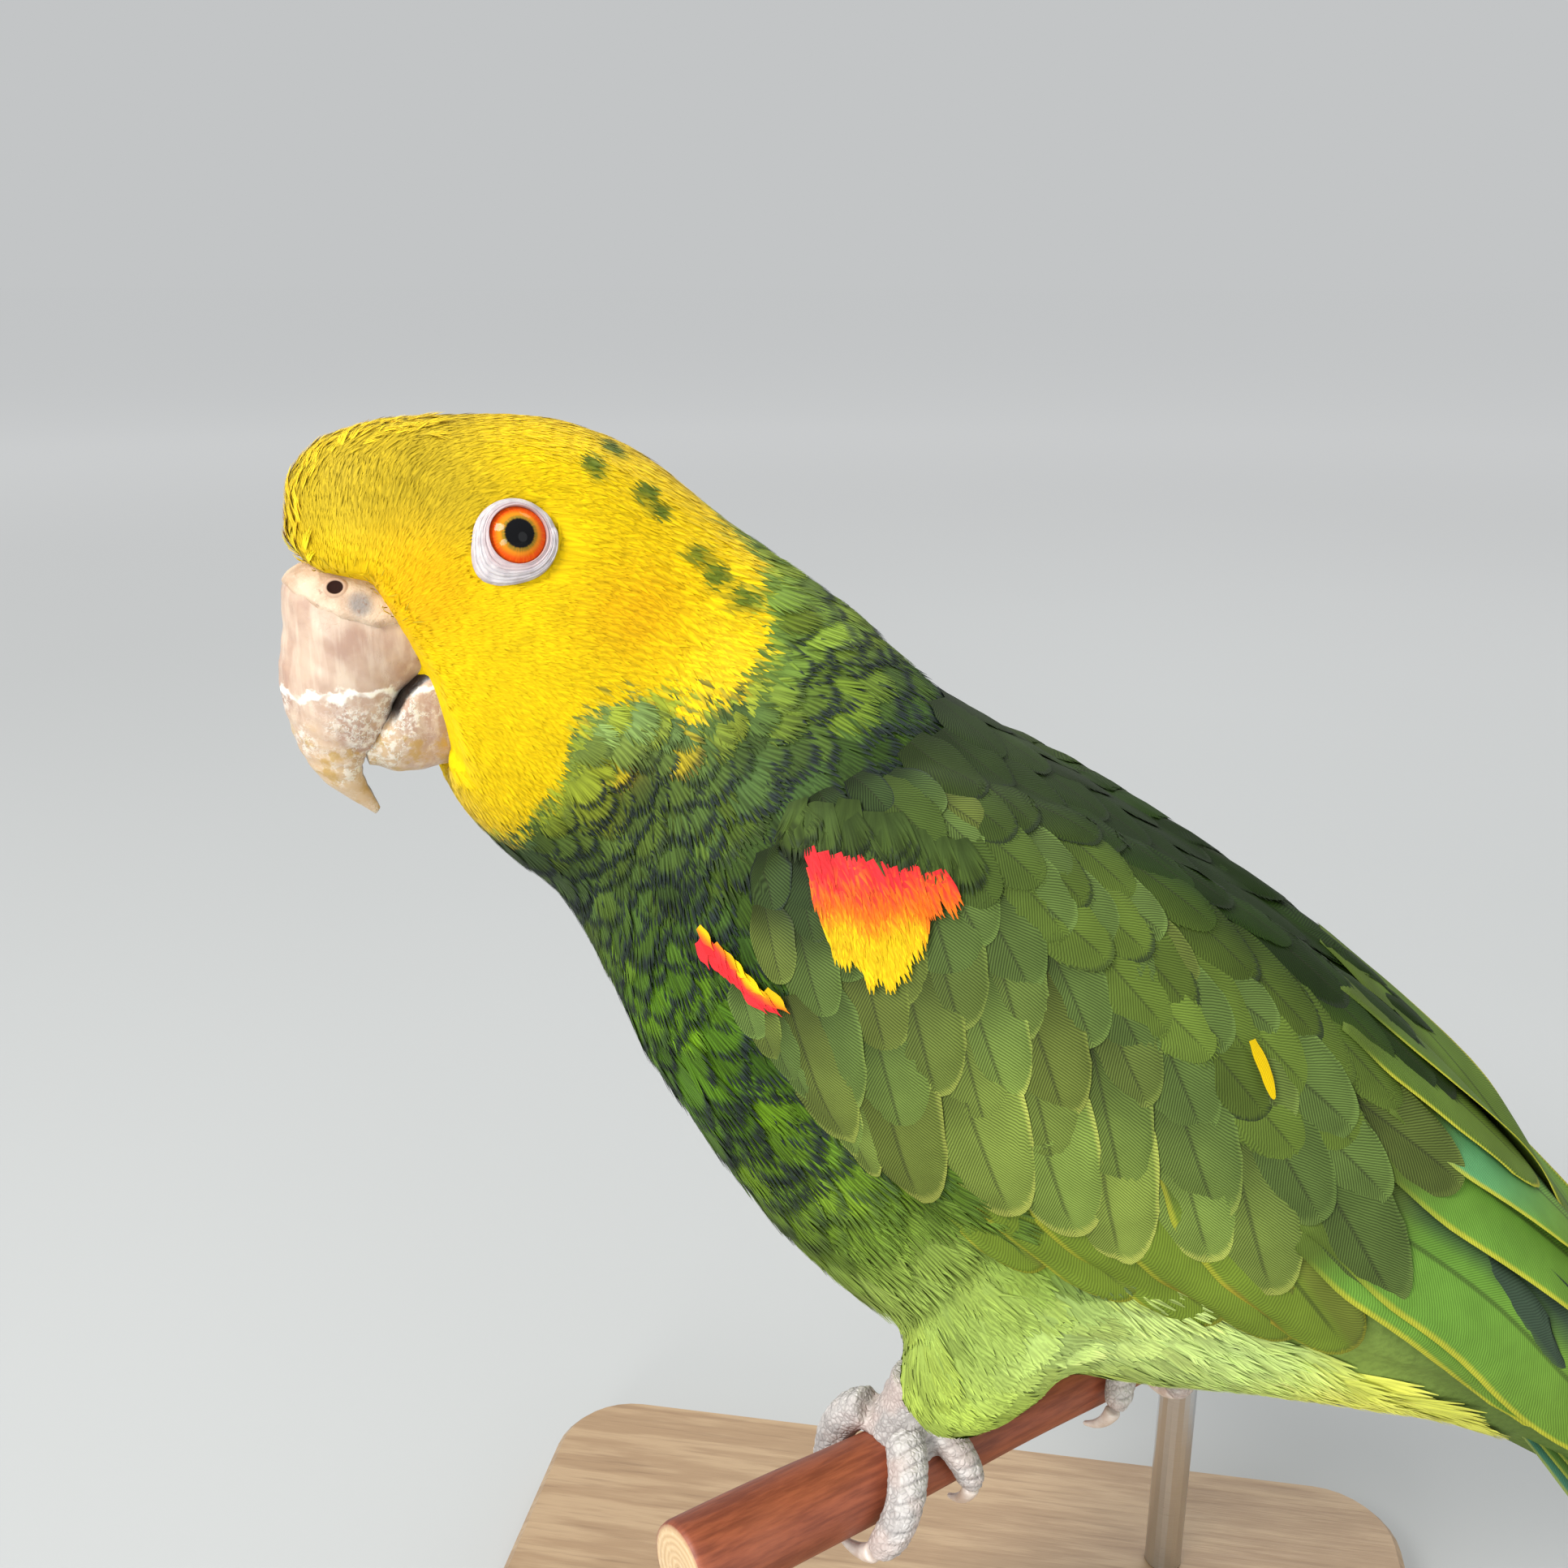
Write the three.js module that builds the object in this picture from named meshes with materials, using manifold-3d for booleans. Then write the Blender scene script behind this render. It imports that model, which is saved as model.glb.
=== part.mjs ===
// A perched amazon parrot, life size, as a still display model on a plain stand.
// Millimetres, +Z up. The bird faces -X and its left side is -Y.
// The origin is in the middle of the underside of the stand's base.
import * as THREE from 'three';
import { mergeVertices } from 'three/addons/utils/BufferGeometryUtils.js';
import Module from 'manifold-3d';

const wasm = await Module();
wasm.setup();

// ---------------------------------------------------------------- driving sizes
const GAP = 0.3;

const BASE_LENGTH = 200;
const BASE_WIDTH = 140;
const BASE_THICK = 12;
const BASE_CORNER = 16;
const BASE_BEVEL = 1.5;
const ROD_RADIUS = 4;
const ROD_REACH = [-55, 55];

const PERCH_CENTRE = [8, 0, 78];
const PERCH_HEADING = 46;
const PERCH_FALL = 3;
const PERCH_FROM = -72;
const PERCH_TO = 74;
const PERCH_RADIUS_NEAR = 8;
const PERCH_RADIUS_FAR = 7;
const PERCH_BEVEL = 1.2;

const AXIS_SLOPE = 38;
const HEAD_TURN = 32;
const TURN_STARTS = -98;
const TURN_ENDS = -150;
const HEAD_CENTRE = [-87, 161.7];

const FACE = -196;
const NECK_CUT = -112;
const HEAD_CUT = -134;
const SEAM = 0.6;
const TRUNK_END = 84;
const TRUNK_CAP = 1.5;
const TRUNK_CAP_SHARE = 0.75;
const BODY_SIDES = 28;
const HEAD_STEPS = 9;
const TRUNK_STEPS = 15;

const WING_FROM = -106;
const WING_TO = 90;
const WING_STEPS = 18;
const WING_ROWS = 8;
const WING_THICK = 4.5;
const WING_EDGE = 0.8;
const WING_CLEAR = 0.7;

const TAIL_FROM = 62;
const TAIL_TO = 135;
const TAIL_STEPS = 10;
const TAIL_SIDES = 16;
const TAIL_ARCH = 0.011;

const EYE_RADIUS = 6.6;
const EYE_BACK = -3.5;
const EYE_UP = 8.2;
const EYE_OUT = 12.8;

const FOOT_REACH = { left: -24, right: 30 };
const TOE_RADIUS = 3.7;
const TOE_TIP_RADIUS = 2.9;
const TOE_CLEAR = 0.45;
const CLAW_RADIUS = 2.2;
const CLAW_TIP_RADIUS = 0.5;
const CLAW_SWEEP = [6, 62];
const CLAW_SPLAY = 0.8;
const FOOT_RADIUS = 7.4;
const TARSUS_RADIUS = 4.6;
const THIGH_RADIUS = 19;
const KNEE_RADIUS = 9.8;

// ---------------------------------------------------------------- small helpers
const rad = (degrees) => degrees * Math.PI / 180;
const mix = (a, b, f) => a + (b - a) * f;
const clamp = (v, lo, hi) => Math.min(hi, Math.max(lo, v));
const add = (a, b, f = 1) => a.map((v, i) => v + b[i] * f);
const unit = (v) => v.map((c) => c / Math.hypot(...v));
const cross = (a, b) => [
  a[1] * b[2] - a[2] * b[1],
  a[2] * b[0] - a[0] * b[2],
  a[0] * b[1] - a[1] * b[0],
];

function smoothStep(from, to, v) {
  const f = clamp((v - from) / (to - from), 0, 1);
  return f * f * (3 - 2 * f);
}

// A smooth curve through rows of [key, value, value, ...], read at any key.
function through(rows) {
  const slope = (i, c) => {
    const a = rows[Math.max(0, i - 1)];
    const b = rows[Math.min(rows.length - 1, i + 1)];
    return (b[c] - a[c]) / (b[0] - a[0]);
  };
  return (key) => {
    const k = clamp(key, rows[0][0], rows[rows.length - 1][0]);
    let i = 0;
    while (i < rows.length - 2 && k > rows[i + 1][0]) i += 1;
    const span = rows[i + 1][0] - rows[i][0];
    const f = (k - rows[i][0]) / span;
    return rows[i].slice(1).map((from, n) => {
      const to = rows[i + 1][n + 1];
      const m0 = slope(i, n + 1) * span;
      const m1 = slope(i + 1, n + 1) * span;
      const f2 = f * f;
      const f3 = f2 * f;
      return (2 * f3 - 3 * f2 + 1) * from + (f3 - 2 * f2 + f) * m0
        + (3 * f2 - 2 * f3) * to + (f3 - f2) * m1;
    });
  };
}

// A closed solid from rings of points, each ring the same length.
// The first and last rings are closed over their own middles.
function skinned(rings) {
  const around = rings[0].length;
  const points = rings.flat();
  const faces = [];
  for (let r = 0; r + 1 < rings.length; r += 1) {
    for (let n = 0; n < around; n += 1) {
      const a = r * around + n;
      const b = r * around + (n + 1) % around;
      faces.push([a, b, b + around], [a, b + around, a + around]);
    }
  }
  [0, rings.length - 1].forEach((r) => {
    const middle = rings[r].reduce((sum, p) => add(sum, p, 1 / around), [0, 0, 0]);
    const hub = points.push(middle) - 1;
    for (let n = 0; n < around; n += 1) {
      const a = r * around + n;
      const b = r * around + (n + 1) % around;
      faces.push(r === 0 ? [hub, b, a] : [hub, a, b]);
    }
  });
  return solid(points, faces);
}

function volumeOf(points, faces) {
  return faces.reduce((sum, [a, b, c]) => {
    const n = cross(points[b], points[c]);
    return sum + (points[a][0] * n[0] + points[a][1] * n[1] + points[a][2] * n[2]) / 6;
  }, 0);
}

function solid(points, faces) {
  const out = volumeOf(points, faces) < 0 ? faces.map(([a, b, c]) => [a, c, b]) : faces;
  return new wasm.Manifold(new wasm.Mesh({
    numProp: 3,
    vertProperties: new Float32Array(points.flat()),
    triVerts: new Uint32Array(out.flat()),
  }));
}

// A three.js geometry, set in place, as a solid.
function solidOf(geometry, place = new THREE.Matrix4()) {
  geometry.deleteAttribute('normal');
  geometry.deleteAttribute('uv');
  const merged = mergeVertices(geometry.applyMatrix4(place), 1e-4);
  const at = merged.getAttribute('position');
  const ids = merged.index.array;
  const points = Array.from({ length: at.count }, (_, i) => [at.getX(i), at.getY(i), at.getZ(i)]);
  const faces = Array.from({ length: ids.length / 3 }, (_, i) => [...ids.slice(3 * i, 3 * i + 3)]);
  return solid(points, faces.filter(([a, b, c]) => a !== b && b !== c && c !== a));
}

const uprightAt = ([x, y, z]) => new THREE.Matrix4()
  .makeTranslation(x, y, z)
  .multiply(new THREE.Matrix4().makeRotationX(Math.PI / 2));

// A round bar along a path, its radius read from how far along it is.
function bar(path, steps, around, radius, side) {
  const rings = [];
  for (let i = 0; i <= steps; i += 1) {
    const f = i / steps;
    const here = path(f);
    const ahead = unit(add(path(Math.min(1, f + 0.01)), path(Math.max(0, f - 0.01)), -1));
    const u = unit(cross(side, ahead));
    const v = cross(ahead, u);
    const ring = [];
    for (let n = 0; n < around; n += 1) {
      const turn = 2 * Math.PI * n / around;
      const across = add(here, u, radius(f) * Math.cos(turn));
      ring.push(add(across, v, radius(f) * Math.sin(turn)));
    }
    rings.push(ring);
  }
  return skinned(rings);
}

// ---------------------------------------------------------------- the bird's own frame
// Everything on the perch is sized from the perch's centre, x back and z up.
const along = [Math.cos(rad(AXIS_SLOPE)), -Math.sin(rad(AXIS_SLOPE))];
const above = [Math.sin(rad(AXIS_SLOPE)), Math.cos(rad(AXIS_SLOPE))];
const onAxis = (s, n) => [along[0] * s + above[0] * n, along[1] * s + above[1] * n];
const onHead = (u, z) => [HEAD_CENTRE[0] + u, HEAD_CENTRE[1] + z];

// Turns a point of the unturned bird with its neck.
function turned([x, y, z], share) {
  const turn = rad(HEAD_TURN) * share;
  const dx = x - HEAD_CENTRE[0];
  return [
    HEAD_CENTRE[0] + dx * Math.cos(turn) - y * Math.sin(turn),
    dx * Math.sin(turn) + y * Math.cos(turn),
    z,
  ];
}

const headPoint = (u, y, z) => {
  const [x, up] = onHead(u, z);
  return turned([x, y, up], 1);
};

// A rib: key, low point, high point, half width, share of the height where it is widest.
const rib = (key, low, high, half, widest) => [key, ...low, ...high, half, widest];

const bodyRibs = through([
  rib(-196, onHead(-18.5, -19), onHead(-38.8, 8), 9, 0.55),
  rib(-190, onHead(-16.5, -29.5), onHead(-36.8, 16.5), 15, 0.5),
  rib(-180, onHead(-15, -38), onHead(-28.5, 23.5), 18, 0.46),
  rib(-168, onHead(-10, -46.5), onHead(-10, 25.8), 21, 0.42),
  rib(-154, onHead(-4, -53), onHead(9.5, 24.4), 24, 0.42),
  rib(-140, onHead(2, -59), onHead(27.5, 15.8), 27, 0.44),
  rib(-126, [-79.5, 94], [-46, 167], 31, 0.47),
  rib(-112, [-73, 84.5], [-28.5, 155.5], 35, 0.5),
  rib(-98, onAxis(-98, 18.5), onAxis(-98, 104), 38, 0.5),
  rib(-75, onAxis(-75, 11), onAxis(-75, 107), 39.5, 0.5),
  rib(-50, onAxis(-50, 6), onAxis(-50, 109.5), 40, 0.48),
  rib(-25, onAxis(-25, 8), onAxis(-25, 110.5), 38.5, 0.47),
  rib(0, onAxis(0, 24), onAxis(0, 109), 35, 0.46),
  rib(25, onAxis(25, 44), onAxis(25, 105), 29, 0.46),
  rib(50, onAxis(50, 59), onAxis(50, 99), 21, 0.48),
  rib(72, onAxis(72, 64), onAxis(72, 92), 15, 0.5),
  rib(86, onAxis(86, 66), onAxis(86, 85), 11, 0.5),
  rib(98, onAxis(98, 68), onAxis(98, 82), 9, 0.5),
]);

// A point of the body's surface: turn is 0 underneath, 90 on the left, 180 on the back.
function bodyPoint(key, turn, grow = 0) {
  const [lx, lz, hx, hz, half, widest] = bodyRibs(key);
  const height = Math.hypot(hx - lx, hz - lz);
  const up = [(hx - lx) / height, (hz - lz) / height];
  const level = widest * height;
  const reach = (Math.cos(turn) > 0 ? level : height - level) + grow;
  const h = level - reach * Math.cos(turn);
  const y = -(half + grow) * Math.sin(turn);
  const share = smoothStep(TURN_STARTS, TURN_ENDS, key);
  return turned([lx + up[0] * h, y, lz + up[1] * h], share);
}

function bodyRing(key, grow = 0, shrink = 1) {
  const ring = [];
  for (let n = 0; n < BODY_SIDES; n += 1) {
    ring.push(bodyPoint(key, 2 * Math.PI * n / BODY_SIDES, grow));
  }
  const middle = ring.reduce((sum, p) => add(sum, p, 1 / BODY_SIDES), [0, 0, 0]);
  return ring.map((p) => add(middle, add(p, middle, -1), shrink));
}

function bodyRings(from, to, steps, grow = 0) {
  const rings = [];
  for (let i = 0; i <= steps; i += 1) rings.push(bodyRing(mix(from, to, i / steps), grow));
  return rings;
}

// The trunk narrows over a short cap at its rear end.
function trunkPart(grow = 0) {
  const cap = bodyRing(TRUNK_END + TRUNK_CAP + grow, grow, TRUNK_CAP_SHARE + grow / 15);
  return skinned([...bodyRings(NECK_CUT, TRUNK_END, TRUNK_STEPS, grow), cap]);
}

// ---------------------------------------------------------------- bill and cere
const billRibs = through([
  rib(0, onHead(-25, 4), onHead(-17, -13.5), 10.5, 0.6),
  rib(1, onHead(-37.6, 2.5), onHead(-20.5, -19), 10.5, 0.6),
  rib(2, onHead(-40, -7), onHead(-23.5, -23.5), 9.4, 0.6),
  rib(3, onHead(-41.2, -16), onHead(-26, -26.8), 8, 0.6),
  rib(4, onHead(-39.6, -25.5), onHead(-28.5, -29), 6.2, 0.6),
  rib(5, onHead(-36, -33), onHead(-29.2, -32.5), 4.2, 0.55),
  rib(6, onHead(-27.8, -40.2), onHead(-26.9, -39), 1, 0.5),
]);

const jawRibs = through([
  rib(0, onHead(-11, -31.5), onHead(-15, -18), 9.6, 0.6),
  rib(1, onHead(-17, -32.6), onHead(-20.5, -21), 9, 0.6),
  rib(2, onHead(-23, -32.6), onHead(-25.5, -24.5), 7.4, 0.6),
  rib(3, onHead(-28.2, -31.2), onHead(-28.8, -28), 5, 0.5),
]);

function hornPart(ribs, from, to, steps, around, grow = 0) {
  const rings = [];
  for (let i = 0; i <= steps; i += 1) {
    const [lx, lz, hx, hz, half, widest] = ribs(mix(from, to, i / steps));
    const height = Math.hypot(hx - lx, hz - lz);
    const up = [(hx - lx) / height, (hz - lz) / height];
    const level = widest * height;
    const ring = [];
    for (let n = 0; n < around; n += 1) {
      const turn = 2 * Math.PI * n / around;
      const reach = (Math.cos(turn) > 0 ? level : height - level) + grow;
      const h = level - reach * Math.cos(turn);
      const y = -(half + grow) * Math.sin(turn);
      ring.push(turned([lx + up[0] * h, y, lz + up[1] * h], 1));
    }
    rings.push(ring);
  }
  return skinned(rings);
}

const cere = hornPart(billRibs, 0, 1, 2, 16);
const billUpper = hornPart(billRibs, 1.03, 6, 10, 16);
const billGrown = hornPart(billRibs, 0, 6, 12, 16, GAP);
const billLower = hornPart(jawRibs, 0, 3, 5, 16).subtract(billGrown);
const jawGrown = hornPart(jawRibs, 0, 3, 5, 16, GAP);

// ---------------------------------------------------------------- eyes
const eyeCentre = (side) => headPoint(EYE_BACK, side * EYE_OUT, EYE_UP);
const eye = (side, grow = 0) => solidOf(
  new THREE.SphereGeometry(EYE_RADIUS + grow, 14, 9),
  uprightAt(eyeCentre(side)),
);

// ---------------------------------------------------------------- trunk, neck, head
const trunk = trunkPart();
const trunkGrown = trunkPart(GAP);
const neck = skinned(bodyRings(HEAD_CUT, NECK_CUT - SEAM, 2));
const head = skinned(bodyRings(FACE, HEAD_CUT - SEAM, HEAD_STEPS))
  .subtract(billGrown)
  .subtract(jawGrown)
  .subtract(eye(-1, GAP))
  .subtract(eye(1, GAP));

// ---------------------------------------------------------------- wings
// Where each wing lies on the body: key, lower edge and upper edge in degrees of turn.
const wingEdges = through([
  [-106, 98, 124],
  [-100, 88, 142],
  [-89, 82, 153],
  [-74, 80, 160],
  [-57, 80, 166],
  [-42, 86, 169],
  [-28, 94, 172],
  [-10, 96, 174],
  [12, 93, 176],
  [35, 90, 176],
  [58, 88, 176],
  [76, 100, 173],
  [90, 130, 165],
]);

function wing(side) {
  const rings = [];
  for (let i = 0; i <= WING_STEPS; i += 1) {
    const back = i / WING_STEPS;
    const key = mix(WING_FROM, WING_TO, back);
    const [low, high] = wingEdges(key);
    const outer = [];
    const inner = [];
    const lengthwise = Math.min(1, 5 * back + 0.15, 6 * (1 - back) + 0.2);
    for (let n = 0; n <= WING_ROWS; n += 1) {
      const f = n / WING_ROWS;
      const turn = rad(mix(low, high, f));
      const crosswise = Math.min(1, 3.2 * f + 0.12, 2.5 * (1 - f) + 0.2);
      const thick = WING_EDGE + (WING_THICK - WING_EDGE) * crosswise * lengthwise;
      outer.push(bodyPoint(key, turn, WING_CLEAR + thick));
      inner.push(bodyPoint(key, turn, WING_CLEAR));
    }
    rings.push([...outer, ...inner.reverse()]);
  }
  const mirrored = ([x, y, z]) => [x, -y, z];
  const shell = skinned(side < 0 ? rings : rings.map((ring) => ring.map(mirrored)));
  return shell.subtract(trunkGrown);
}

// ---------------------------------------------------------------- tail
const tailRibs = through([
  [62, 74, 15, 4.2],
  [78, 74, 19, 3.6],
  [98, 73, 21.5, 2.6],
  [116, 72, 22.5, 1.8],
  [128, 71.5, 20, 1.1],
  [135, 71.2, 13, 0.7],
]);

function tailPart() {
  const rings = [];
  for (let i = 0; i <= TAIL_STEPS; i += 1) {
    const key = mix(TAIL_FROM, TAIL_TO, i / TAIL_STEPS);
    const [level, half, thick] = tailRibs(key);
    const ring = [];
    for (let n = 0; n < TAIL_SIDES; n += 1) {
      const turn = 2 * Math.PI * n / TAIL_SIDES;
      const y = half * Math.cos(turn);
      const arch = -TAIL_ARCH * y * y;
      const [x, z] = onAxis(key, level + arch + thick * Math.sin(turn));
      ring.push([x, y, z]);
    }
    rings.push(ring);
  }
  return skinned(rings).subtract(trunkGrown);
}

// ---------------------------------------------------------------- perch and stand
const perchAlong = unit([
  Math.cos(rad(PERCH_HEADING)),
  Math.sin(rad(PERCH_HEADING)),
  -Math.tan(rad(PERCH_FALL)),
]);
const perchSide = unit(cross(perchAlong, [0, 0, 1]));
const perchUp = cross(perchSide, perchAlong);
const perchAt = (reach) => perchAlong.map((c) => c * reach);
const perchRadius = (reach) => mix(
  PERCH_RADIUS_NEAR,
  PERCH_RADIUS_FAR,
  (reach - PERCH_FROM) / (PERCH_TO - PERCH_FROM),
);

// The perch is a turned bar with a small bevel at each sawn end.
function perchBar(grow = 0) {
  const from = PERCH_FROM - grow;
  const to = PERCH_TO + grow;
  const profile = [
    new THREE.Vector2(0, from),
    new THREE.Vector2(perchRadius(from) + grow - PERCH_BEVEL, from),
    new THREE.Vector2(perchRadius(from) + grow, from + PERCH_BEVEL),
    new THREE.Vector2(perchRadius(to) + grow, to - PERCH_BEVEL),
    new THREE.Vector2(perchRadius(to) + grow - PERCH_BEVEL, to),
    new THREE.Vector2(0, to),
  ];
  const lie = new THREE.Quaternion().setFromUnitVectors(
    new THREE.Vector3(0, 1, 0),
    new THREE.Vector3(...perchAlong),
  );
  const place = new THREE.Matrix4().compose(
    new THREE.Vector3(),
    lie,
    new THREE.Vector3(1, 1, 1),
  );
  return solidOf(new THREE.LatheGeometry(profile, 28), place);
}

const perch = perchBar();
const perchGrown = perchBar(GAP);

function baseBlock() {
  const half = [BASE_LENGTH / 2 - BASE_BEVEL, BASE_WIDTH / 2 - BASE_BEVEL];
  const outline = new THREE.Shape();
  [[1, 1], [-1, 1], [-1, -1], [1, -1]].forEach(([sx, sy], corner) => {
    const x = sx * (half[0] - BASE_CORNER);
    const y = sy * (half[1] - BASE_CORNER);
    const turn = rad(90 * corner);
    outline.absarc(x, y, BASE_CORNER, turn, turn + rad(90), false);
  });
  outline.closePath();
  const block = new THREE.ExtrudeGeometry(outline, {
    depth: BASE_THICK - BASE_BEVEL,
    bevelThickness: BASE_BEVEL,
    bevelSize: BASE_BEVEL,
    bevelSegments: 1,
    curveSegments: 4,
  });
  const bevelled = solidOf(block);
  const below = new THREE.BoxGeometry(2 * BASE_LENGTH, 2 * BASE_WIDTH, BASE_THICK);
  return bevelled.subtract(solidOf(below, new THREE.Matrix4().makeTranslation(0, 0, -BASE_THICK / 2)));
}

function standRod(reach) {
  const [x, y, top] = perchAt(reach);
  const foot = BASE_THICK + GAP - PERCH_CENTRE[2];
  const rod = new THREE.CylinderGeometry(ROD_RADIUS, ROD_RADIUS, top - foot, 20);
  return solidOf(rod, uprightAt([x, y, (top + foot) / 2])).subtract(perchGrown);
}

// ---------------------------------------------------------------- legs
// A point round the perch: tilt is 0 on top, positive to the rear of the bird.
function roundPerch(reach, tilt, radius) {
  const out = add(perchUp.map((c) => c * Math.cos(tilt)), perchSide, Math.sin(tilt));
  return add(perchAt(reach), out, radius);
}

// Each toe: name, where it starts and ends along the perch from the foot's middle,
// start tilt and end tilt round the perch, and how thick it is.
const toes = [
  { name: 'hallux', from: 3, to: 8, start: 26, end: 92, size: 0.86 },
  { name: 'inner', from: 4.5, to: 11, start: -26, end: -104, size: 0.9 },
  { name: 'middle', from: -4.5, to: -9, start: -26, end: -124, size: 1 },
  { name: 'outer', from: -4.5, to: -13, start: 26, end: 122, size: 1 },
];

function toePath(side, toe) {
  const outward = side < 0 ? 1 : -1;
  const middle = side < 0 ? FOOT_REACH.left : FOOT_REACH.right;
  return (f) => {
    const reach = middle + outward * mix(toe.from, toe.to, f);
    const tilt = rad(mix(toe.start, toe.end, f));
    const thick = mix(TOE_RADIUS, TOE_TIP_RADIUS, f) * toe.size;
    return roundPerch(reach, tilt, perchRadius(reach) + thick + TOE_CLEAR);
  };
}

const toeThick = (toe, grow) => (f) => {
  const round = Math.min(1, 0.78 + 2.2 * (1 - f));
  return mix(TOE_RADIUS, TOE_TIP_RADIUS, f) * toe.size * round + grow;
};

function toePart(side, toe, grow = 0) {
  return bar(toePath(side, toe), 7, 9, toeThick(toe, grow), perchAlong);
}

function clawPart(side, toe) {
  const outward = side < 0 ? 1 : -1;
  const middle = side < 0 ? FOOT_REACH.left : FOOT_REACH.right;
  const back = Math.sign(toe.end);
  const path = (f) => {
    const reach = middle + outward * (toe.to + CLAW_SPLAY * Math.sign(toe.to) * f);
    const tilt = rad(toe.end + back * mix(...CLAW_SWEEP, f));
    const thick = mix(TOE_TIP_RADIUS * toe.size, 1.2, f);
    return roundPerch(reach, tilt, perchRadius(reach) + thick + TOE_CLEAR);
  };
  return bar(path, 6, 7, (f) => mix(CLAW_RADIUS * toe.size, CLAW_TIP_RADIUS, f), perchAlong);
}

function thighLine(side) {
  const foot = perchAt(side < 0 ? FOOT_REACH.left : FOOT_REACH.right);
  const hip = side < 0 ? [6, -22, 52] : [14, 20, 52];
  const knee = side < 0 ? [-4, -23, 30] : [14, 22, 34];
  const heel = add(foot, [2.5, 1.5 * side, PERCH_RADIUS_NEAR + 7.5]);
  const line = through([[0, ...hip], [0.5, ...knee], [1, ...heel]]);
  const thick = (f) => mix(THIGH_RADIUS, KNEE_RADIUS, f) * Math.min(1, 0.5 + 3.4 * (1 - f));
  return { line, thick };
}

function thigh(side) {
  const { line, thick } = thighLine(side);
  return bar(line, 7, 16, thick, [0, 1, 0]);
}

function footPart(side, grow = 0) {
  const reach = side < 0 ? FOOT_REACH.left : FOOT_REACH.right;
  const top = perchRadius(reach);
  const sole = roundPerch(reach, 0, top - 1);
  const { line } = thighLine(side);
  const heel = add(line(1), [0, 0, 5]);
  const path = (f) => add(sole, add(heel, sole, -1), f);
  const radius = (f) => mix(FOOT_RADIUS, TARSUS_RADIUS, smoothStep(0, 0.7, f)) + grow;
  return bar(path, 3, 12, radius, perchSide);
}

function cutByToes(piece, side) {
  return toes.reduce((left, toe) => left.subtract(toePart(side, toe, GAP)), piece);
}

const footCut = (side) => cutByToes(footPart(side).subtract(perchGrown), side);

const thighFeathers = (side) => cutByToes(
  thigh(side).subtract(trunkGrown).subtract(footPart(side, GAP)),
  side,
);

// ---------------------------------------------------------------- assembly
const colours = {
  stand: [0x2b2b2d, 0.6, 0],
  rod: [0xb8babd, 0.3, 1],
  perch: [0x6b3b26, 0.65, 0],
  green: [0x5f8f35, 0.8, 0],
  yellow: [0xe8c02c, 0.8, 0],
  horn: [0xd9b9a0, 0.45, 0],
  cere: [0xc9a79a, 0.5, 0],
  eye: [0xd0521c, 0.1, 0],
  foot: [0x9a8f8a, 0.6, 0],
  claw: [0xd8c6b8, 0.4, 0],
};

function meshOf(manifold, name, look) {
  const { numProp, vertProperties, triVerts } = manifold.getMesh();
  const places = new Float32Array(vertProperties.length / numProp * 3);
  for (let i = 0; i * numProp < vertProperties.length; i += 1) {
    for (let c = 0; c < 3; c += 1) places[3 * i + c] = vertProperties[i * numProp + c];
  }
  const geometry = new THREE.BufferGeometry();
  geometry.setAttribute('position', new THREE.BufferAttribute(places, 3));
  geometry.setIndex(new THREE.BufferAttribute(new Uint32Array(triVerts), 1));
  geometry.computeVertexNormals();
  const [color, roughness, metalness] = colours[look];
  const material = new THREE.MeshStandardMaterial({ color, roughness, metalness });
  const mesh = new THREE.Mesh(geometry, material);
  mesh.name = name;
  return mesh;
}

const model = new THREE.Group();
model.name = 'amazon_parrot';
model.add(meshOf(baseBlock(), 'stand_base', 'stand'));

const perched = new THREE.Group();
perched.position.set(...PERCH_CENTRE);
model.add(perched);
const put = (name, manifold, look) => perched.add(meshOf(manifold, name, look));

put('stand_rod_near', standRod(ROD_REACH[0]), 'rod');
put('stand_rod_far', standRod(ROD_REACH[1]), 'rod');
put('perch', perch, 'perch');
put('trunk', trunk, 'green');
put('neck', neck, 'green');
put('head', head, 'yellow');
put('cere', cere, 'cere');
put('bill_upper', billUpper, 'horn');
put('bill_lower', billLower, 'horn');
put('tail', tailPart(), 'green');
[['left', -1], ['right', 1]].forEach(([word, side]) => {
  put(`eye_${word}`, eye(side), 'eye');
  put(`wing_${word}`, wing(side), 'green');
  put(`thigh_${word}`, thighFeathers(side), 'green');
  put(`foot_${word}`, footCut(side), 'foot');
  toes.forEach((toe) => {
    put(`toe_${word}_${toe.name}`, toePart(side, toe), 'foot');
    put(`claw_${word}_${toe.name}`, clawPart(side, toe), 'claw');
  });
});

export default model;
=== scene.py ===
"""A yellow-headed amazon on its display perch: skin, feathers, bill, eyes, feet and stand."""
import math

import bmesh
import bpy
import numpy as np
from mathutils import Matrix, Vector
from mathutils.bvhtree import BVHTree

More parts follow.
